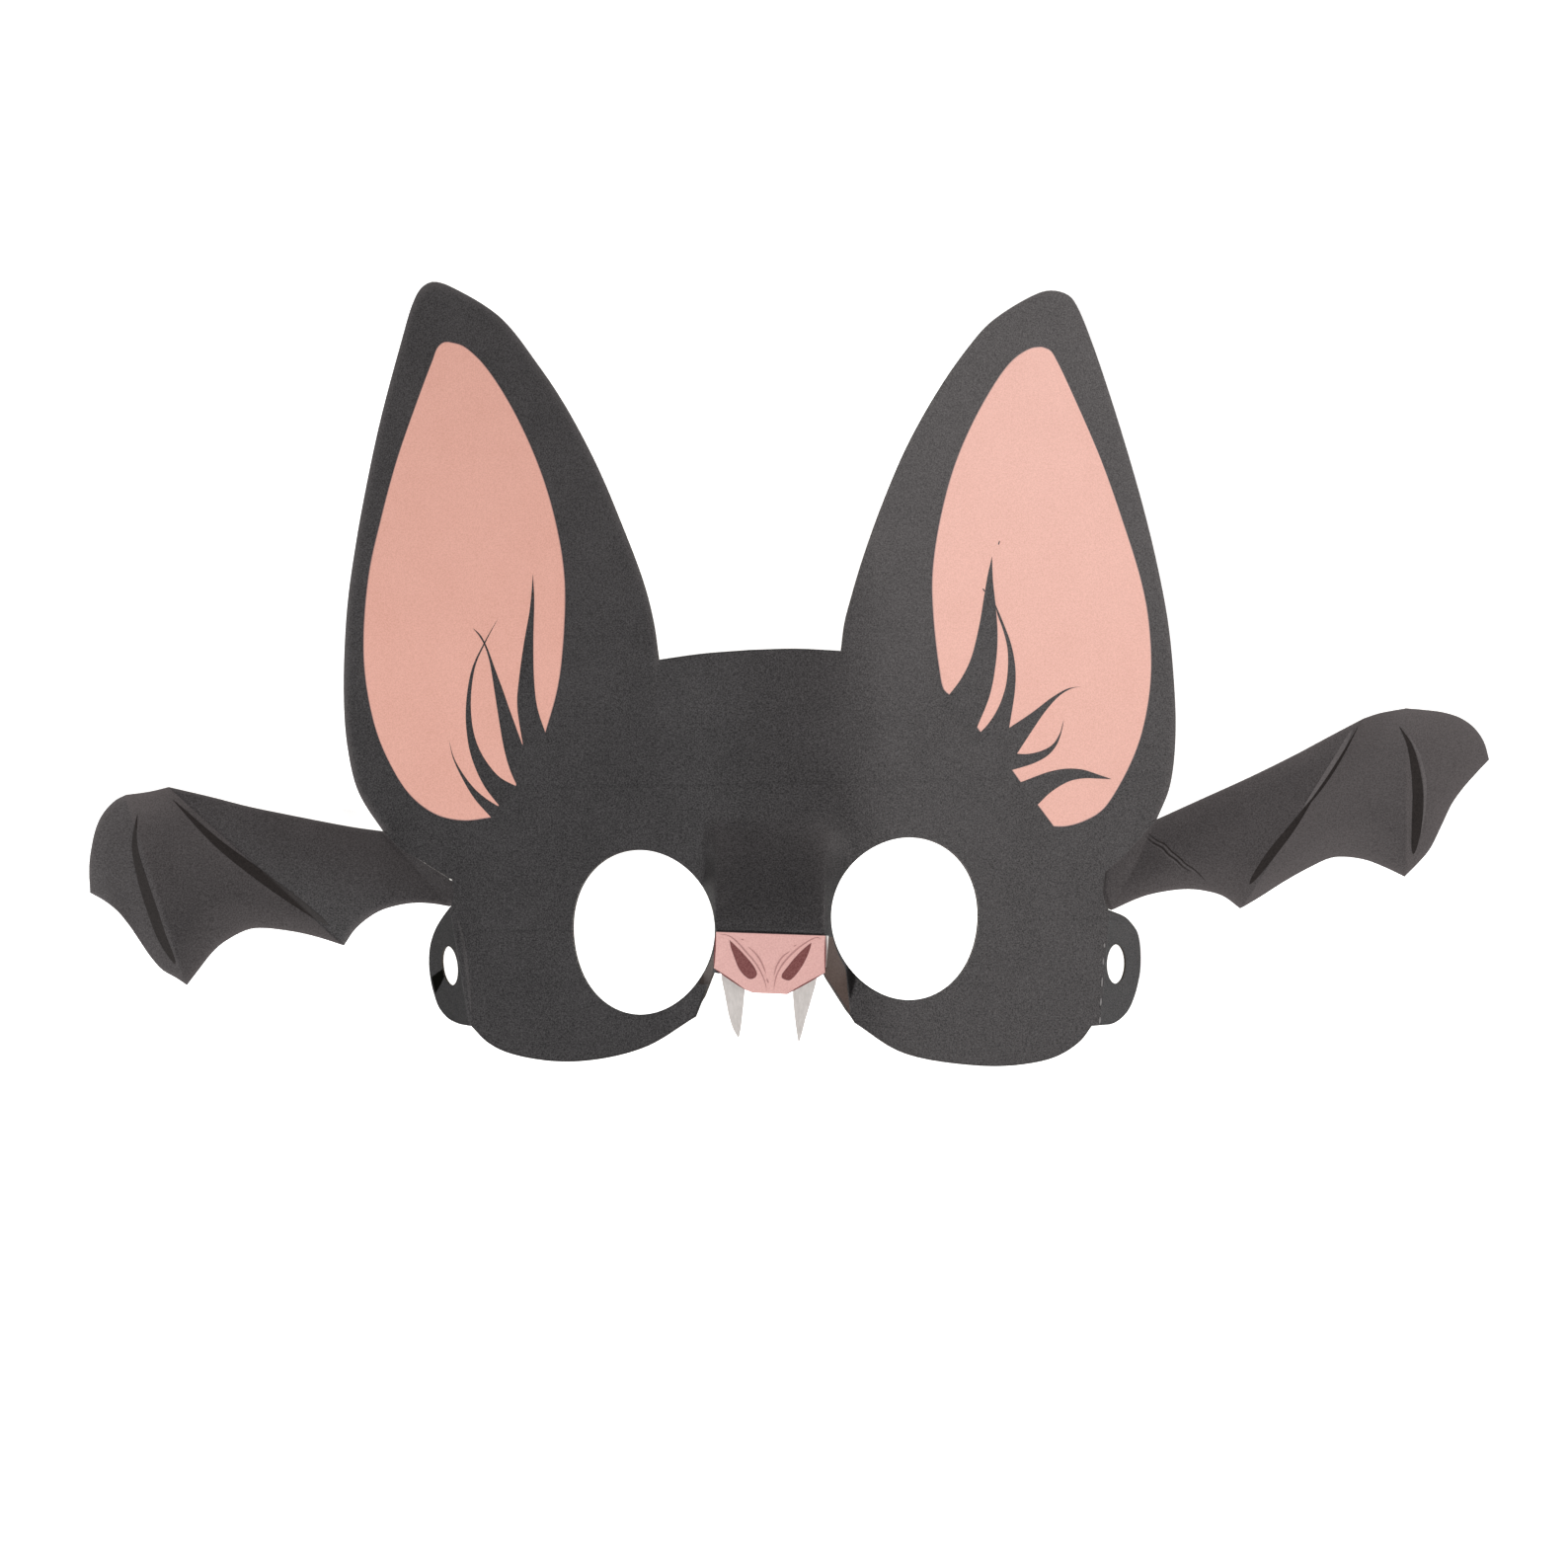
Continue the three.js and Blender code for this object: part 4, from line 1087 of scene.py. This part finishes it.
# Painted highlight: a lighter film along each crumpled crest.
crests = [tapered(line, width=0.38, peak=0.5, columns=3, step=0.25) for line in CRUMPLES]
crest_highlight = highlight_film("wing_crest_highlight", on_wing(WINGS["right"]), crests, scuff_and_light=0.55)
# Painted shade: a dark film beside each crumpled crest, in the bones' brown.
furrow_lines = [np.array(line) + FURROW_OFFSET for line in CRUMPLES]
furrow_lines = [tapered(line, width=0.3, peak=0.5, columns=3, step=0.25) for line in furrow_lines]
furrow_shade = film("wing_furrow_shade", on_wing(WINGS["right"]), furrow_lines, bone_print_and_shade)

# Snout
# A flat panel of card printed pink, glued over the end of the bridge and on both nose walls.
# Two nostrils and a few thin lines are printed on it.

SNOUT = [
    (-13.9, -1.4), (-14.45, -10.0), (-7.1, -15.1), (-5.1, -15.85), (3.0, -16.2), (12.0, -11.1),
    (12.1, -2.3), (-13.9, -1.4),
]
SNOUT_MIDDLE = (-1.2, -8.0)
SNOUT_STEP = 0.5
SNOUT_RINGS = 20
SNOUT_BOW = {"half": 13.0, "fall": 0.22}
SNOUT_PINK = (0.575, 0.315, 0.287, 1), (0.69, 0.408, 0.376, 1)
NOSTRIL_BROWN = (0.125, 0.034, 0.033, 1), (0.222, 0.084, 0.08, 1)
LINE_BROWN = (0.33, 0.155, 0.145, 1), (0.45, 0.24, 0.226, 1)
NOSTRILS = {
    "left": [
        (-10.7, -3.3), (-9.1, -4.8), (-7.0, -7.0), (-4.9, -9.6), (-4.2, -11.2), (-4.4, -12.0),
        (-5.7, -12.6), (-7.0, -11.9), (-8.5, -10.0), (-9.6, -7.3), (-10.35, -5.1), (-10.7, -3.3),
    ],
    "right": [
        (8.75, -3.9), (7.0, -5.3), (4.9, -7.4), (2.9, -9.9), (1.8, -11.4), (1.7, -12.2), (2.4, -12.7),
        (3.5, -12.9), (4.5, -12.2), (6.3, -9.9), (7.6, -7.5), (8.4, -5.4), (8.75, -3.9),
    ],
}
NOSTRIL_MIDDLES = {"left": (-6.4, -9.6), "right": (4.2, -10.2)}
NOSTRIL_STEP = 0.25
NOSTRIL_RINGS = 8
NOSE_LINES = [
    [
        (-13.0, -2.0), (-11.4, -2.1), (-9.6, -3.1), (-6.7, -6.2), (-4.3, -9.1), (-2.8, -11.9),
        (-2.1, -14.0), (-1.9, -15.4),
    ],
    [(-6.2, -4.9), (-4.2, -6.9), (-2.9, -9.1), (-2.0, -11.4)],
    [(-1.9, -12.4), (-1.4, -13.6)],
    [
        (11.0, -3.0), (10.2, -2.7), (9.1, -3.0), (7.3, -4.0), (4.5, -6.2), (1.9, -9.1), (0.5, -11.7),
        (0.0, -13.8), (-0.2, -15.3),
    ],
    [(3.7, -5.9), (1.9, -7.3), (0.6, -9.3), (-0.2, -11.8)],
]
NOSE_LINE_WIDTH = 0.38

# Painted shadow lines along the cut edges, and two small specks in the print
SNOUT_SHADES = [
    [(-13.9, -1.6), (-14.4, -9.9)],
    [(-14.35, -10.05), (-7.1, -15.05)],
    [(2.9, -16.15), (11.95, -11.1)],
    [(12.0, -10.9), (12.05, -2.5)],
]
SPECKS = [[(-8.0, -3.1), (-7.3, -3.3)], [(4.5, -4.8), (5.2, -4.5)]]

# Painted sheen, in brown, on the nose walls beside the snout, where they catch the light. The fade is the
# share of black at its top and its low end.
NOSE_WALL_SHEEN = {
    "left": {
        "low": [(-14.6, -6.8), (-15.4, -8.9), (-17.0, -11.9), (-18.2, -14.0)],
        "high": [(-14.25, -6.8), (-14.4, -9.0), (-14.7, -11.2), (-15.7, -14.0)],
        "fade": (0.25, 1.0),
    },
    "right": {
        "low": [(12.5, -2.6), (12.2, -6.0), (11.75, -9.5), (11.8, -11.2), (14.5, -15.4), (17.8, -20.6)],
        "high": [(13.8, -2.6), (14.2, -4.3), (15.3, -7.3), (16.75, -10.2), (17.3, -15.0), (17.95, -20.6)],
        "fade": (0.0, 0.06),
    },
}
WALL_SHEEN_BROWN = (0.073, 0.0505, 0.0432, 1), (0.119, 0.0885, 0.0765, 1)
WALL_FADE = (0.02, 0.018, 0.018, 1)
FADE_WIDTH = 1.0

# Bare strip of a glue flap that shows beside the snout's right edge
GLUE_FLAP = {
    "low": [(11.5, -2.4), (11.5, -9.9)],
    "high": [(12.85, -2.45), (12.55, -6.4), (12.3, -9.9)],
    "gap": 0.03,
    "thickness": 0.2,
}


def snout_front(x, y):
    """Height of the snout's front: its tilted plane, a card off its back, bowed a little across."""
    above = (GLUE_GAP + CARD) / cos(SNOUT_TILT)
    bow = SNOUT_BOW["fall"] * (x / SNOUT_BOW["half"]) ** 2
    return CREST_HEIGHT + NOSE_RISE + above + (y - SNOUT_TOP) * tan(SNOUT_TILT) - bow


def on_snout(x, y, lift):
    """Places on the front of the snout."""
    return on_surface(snout_front, x, y, lift)


snout_pink = colour_print("snout_pink_print", *SNOUT_PINK, PINK_FRINGE, fringe_width=0.05)
nostril_print_and_shade = colour_print("nostril_print_and_shade", *NOSTRIL_BROWN, PINK_FRINGE, fringe_width=0.12, gloss=0.1)
line_print = colour_print("nose_line_print", *LINE_BROWN, PINK_FRINGE, fringe_width=0.02)
sides = straight_sides(SNOUT, SNOUT_STEP)
flat, nearness = filled(SNOUT_MIDDLE, np.vstack([sides, sides[:1]]), SNOUT_RINGS)
snout_sheet = on_surface(snout_front, flat[..., 0], flat[..., 1])
snout_finishes = [snout_pink, back_card, snout_pink]
snout = card_piece("snout_panel", [snout_sheet], CARD, snout_finishes, {"edge": [nearness]})
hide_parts("snout")
for side, knots in NOSTRILS.items():
    flat, nearness = filled(NOSTRIL_MIDDLES[side], smooth_line(knots, NOSTRIL_STEP), NOSTRIL_RINGS)
    nostril = film(f"nostril_{side}", on_snout, [flat], nostril_print_and_shade, layer=1, marks={"edge": [nearness]})
lines = [tapered(path, NOSE_LINE_WIDTH, peak=0.5, columns=3) for path in NOSE_LINES]
lines += [tapered(path, width=0.24, peak=0.5, columns=3, step=0.2) for path in SPECKS]
nose_lines = film("nose_lines", on_snout, lines, line_print, layer=2)
# Painted shadow: thin dark lines along the snout's cut edges, in the nostrils' brown.
shades = [tapered(path, width=0.34, peak=0.5, columns=3, step=0.25) for path in SNOUT_SHADES]
snout_shades = film("snout_edge_lines", on_snout, shades, nostril_print_and_shade)
flat = between(GLUE_FLAP["low"], GLUE_FLAP["high"], steps=24, columns=4)
flap_sheet = on_surface(snout_front, flat[..., 0], flat[..., 1], -CARD - GLUE_FLAP["gap"])
flap = card_piece("snout_glue_flap", [flap_sheet], GLUE_FLAP["thickness"], [back_card] * 3)
# Painted sheen: a brown film on each nose wall beside the snout.
wall_sheen_paint = colour_print("nose_wall_painted_sheen", *WALL_SHEEN_BROWN, WALL_FADE, FADE_WIDTH, gloss=0.04)
for side, wall in NOSE_WALL_SHEEN.items():
    flat = between(wall["low"], wall["high"], steps=40, columns=12)
    fade = np.broadcast_to(np.linspace(*wall["fade"], flat.shape[0])[:, None], flat.shape[:2])
    nearness = EDGE_REACH - FADE_WIDTH * (1 - fade)
    wall_sheen_film = film(f"nose_wall_{side}", on_face, [flat], wall_sheen_paint, marks={"edge": [nearness]})

# Fangs
# Two pointed pieces of bare card with slightly curved sides.
# Each is glued behind one of the slanted lower edges of the snout.

FANGS = {
    "left": {
        "low": [
            (-12.1, -9.2), (-12.6, -11.7), (-11.8, -16.4), (-10.8, -21.5), (-9.8, -24.6), (-8.5, -26.8),
        ],
        "high": [(-7.0, -12.6), (-7.1, -15.3), (-7.5, -19.9), (-7.95, -23.8), (-8.5, -26.8)],
    },
    "right": {
        "low": [(4.7, -12.8), (4.35, -15.5), (4.55, -19.1), (5.0, -23.4), (5.7, -28.0)],
        "high": [(9.7, -10.0), (10.0, -12.4), (8.7, -17.6), (7.35, -22.2), (6.4, -25.9), (5.7, -28.0)],
    },
}
FANG_EDGE = (0.26, 0.23, 0.21, 1), (0.36, 0.33, 0.31, 1)
FANG_CARD = (0.44, 0.41, 0.389, 1), (0.6, 0.565, 0.543, 1)


def fang_front(x, y):
    """Height of a fang's front: a card and a layer of glue behind the snout, in the same tilted plane."""
    return snout_front(x, y) - (CARD + GLUE_GAP) / cos(SNOUT_TILT)


fang_edge = bare_card("fang_edge", *FANG_EDGE)
fang_card = bare_card("fang_card", *FANG_CARD)
for side, fang in FANGS.items():
    flat = between(fang["low"], fang["high"], steps=40, columns=10)
    sheet = on_surface(fang_front, flat[..., 0], flat[..., 1])
    piece = card_piece(f"card_fang_{side}", [sheet], CARD, [fang_card, back_card, fang_edge])
    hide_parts(f"fang_{side}")

# Studio
# A wide pale table lit from within, one soft lamp high to the lower left, and a wide low panel to the right
# that gives the print its sheen. The camera looks straight down at the mask. Sizes here are metres.

FLOOR_HALF = 20.0
FLOOR_WHITE = (0.9, 0.9, 0.9, 1), (0.92, 0.92, 0.92, 1)
FLOOR_GLOW = 0.65
ROOM_LIGHT = 0.2
CAMERA_HEIGHT = 3.0
FIELD_WIDTH = 0.37436  # width seen at the height of the eye holes
EYE_HEIGHT = 0.041
VIEW_CENTRE = np.array([2.24, 33.71])  # middle of the picture, in the mask's millimetres
LAMPS = [
    {"name": "key", "place": (-1.25, -1.8, 2.35), "size": 0.5, "power": 89.0, "colour": (1.0, 1.0, 1.0)},
    {
        "name": "right_panel", "place": (1.75, 0.7, 0.95), "size": 1.5, "power": 23.7,
        "colour": (1.0, 0.95, 0.935),
    },
]

floor_mesh = bpy.data.meshes.new("floor")
corners = np.array([(-1, -1, 0), (1, -1, 0), (1, 1, 0), (-1, 1, 0)]) * FLOOR_HALF
floor_mesh.from_pydata(corners, [], [(0, 1, 2, 3)])
floor = bpy.data.objects.new("floor", floor_mesh)
floor_paint, tree, surface, place = new_finish("pale_floor", gloss=0.1)
tone = spread(tree, noise(tree, place, size_mm=300.0), *NOISE_SPAN)
tree.links.new(blend(tree, tone, *FLOOR_WHITE), surface.inputs["Base Color"])
surface.inputs["Roughness"].default_value = 0.9
surface.inputs["Emission Color"].default_value = (1, 1, 1, 1)
surface.inputs["Emission Strength"].default_value = FLOOR_GLOW
floor_mesh.materials.append(floor_paint)
bpy.context.collection.objects.link(floor)

world = bpy.data.worlds.new("soft_room")
world.use_nodes = True
world.node_tree.nodes["Background"].inputs["Color"].default_value = (1, 1, 1, 1)
world.node_tree.nodes["Background"].inputs["Strength"].default_value = ROOM_LIGHT
bpy.context.scene.world = world

for lamp in LAMPS:
    light = bpy.data.lights.new(lamp["name"], "AREA")
    light.shape = "DISK"
    light.size = lamp["size"]
    light.energy = lamp["power"]
    light.color = lamp["colour"]
    stand = bpy.data.objects.new(lamp["name"], light)
    stand.location = lamp["place"]
    aim = -stand.location
    stand.rotation_mode = "QUATERNION"
    stand.rotation_quaternion = aim.to_track_quat("-Z", "Y")
    stand.visible_camera = False
    bpy.context.collection.objects.link(stand)

lens = bpy.data.cameras.new("camera")
lens.sensor_width = 36.0
lens.lens = lens.sensor_width * (CAMERA_HEIGHT - EYE_HEIGHT) / FIELD_WIDTH
camera = bpy.data.objects.new("camera", lens)
camera.location = (*((VIEW_CENTRE + BETWEEN_EYES[:2]) / 1000), CAMERA_HEIGHT)
bpy.context.collection.objects.link(camera)
bpy.context.scene.camera = camera
bpy.context.scene.view_settings.view_transform = "Standard"
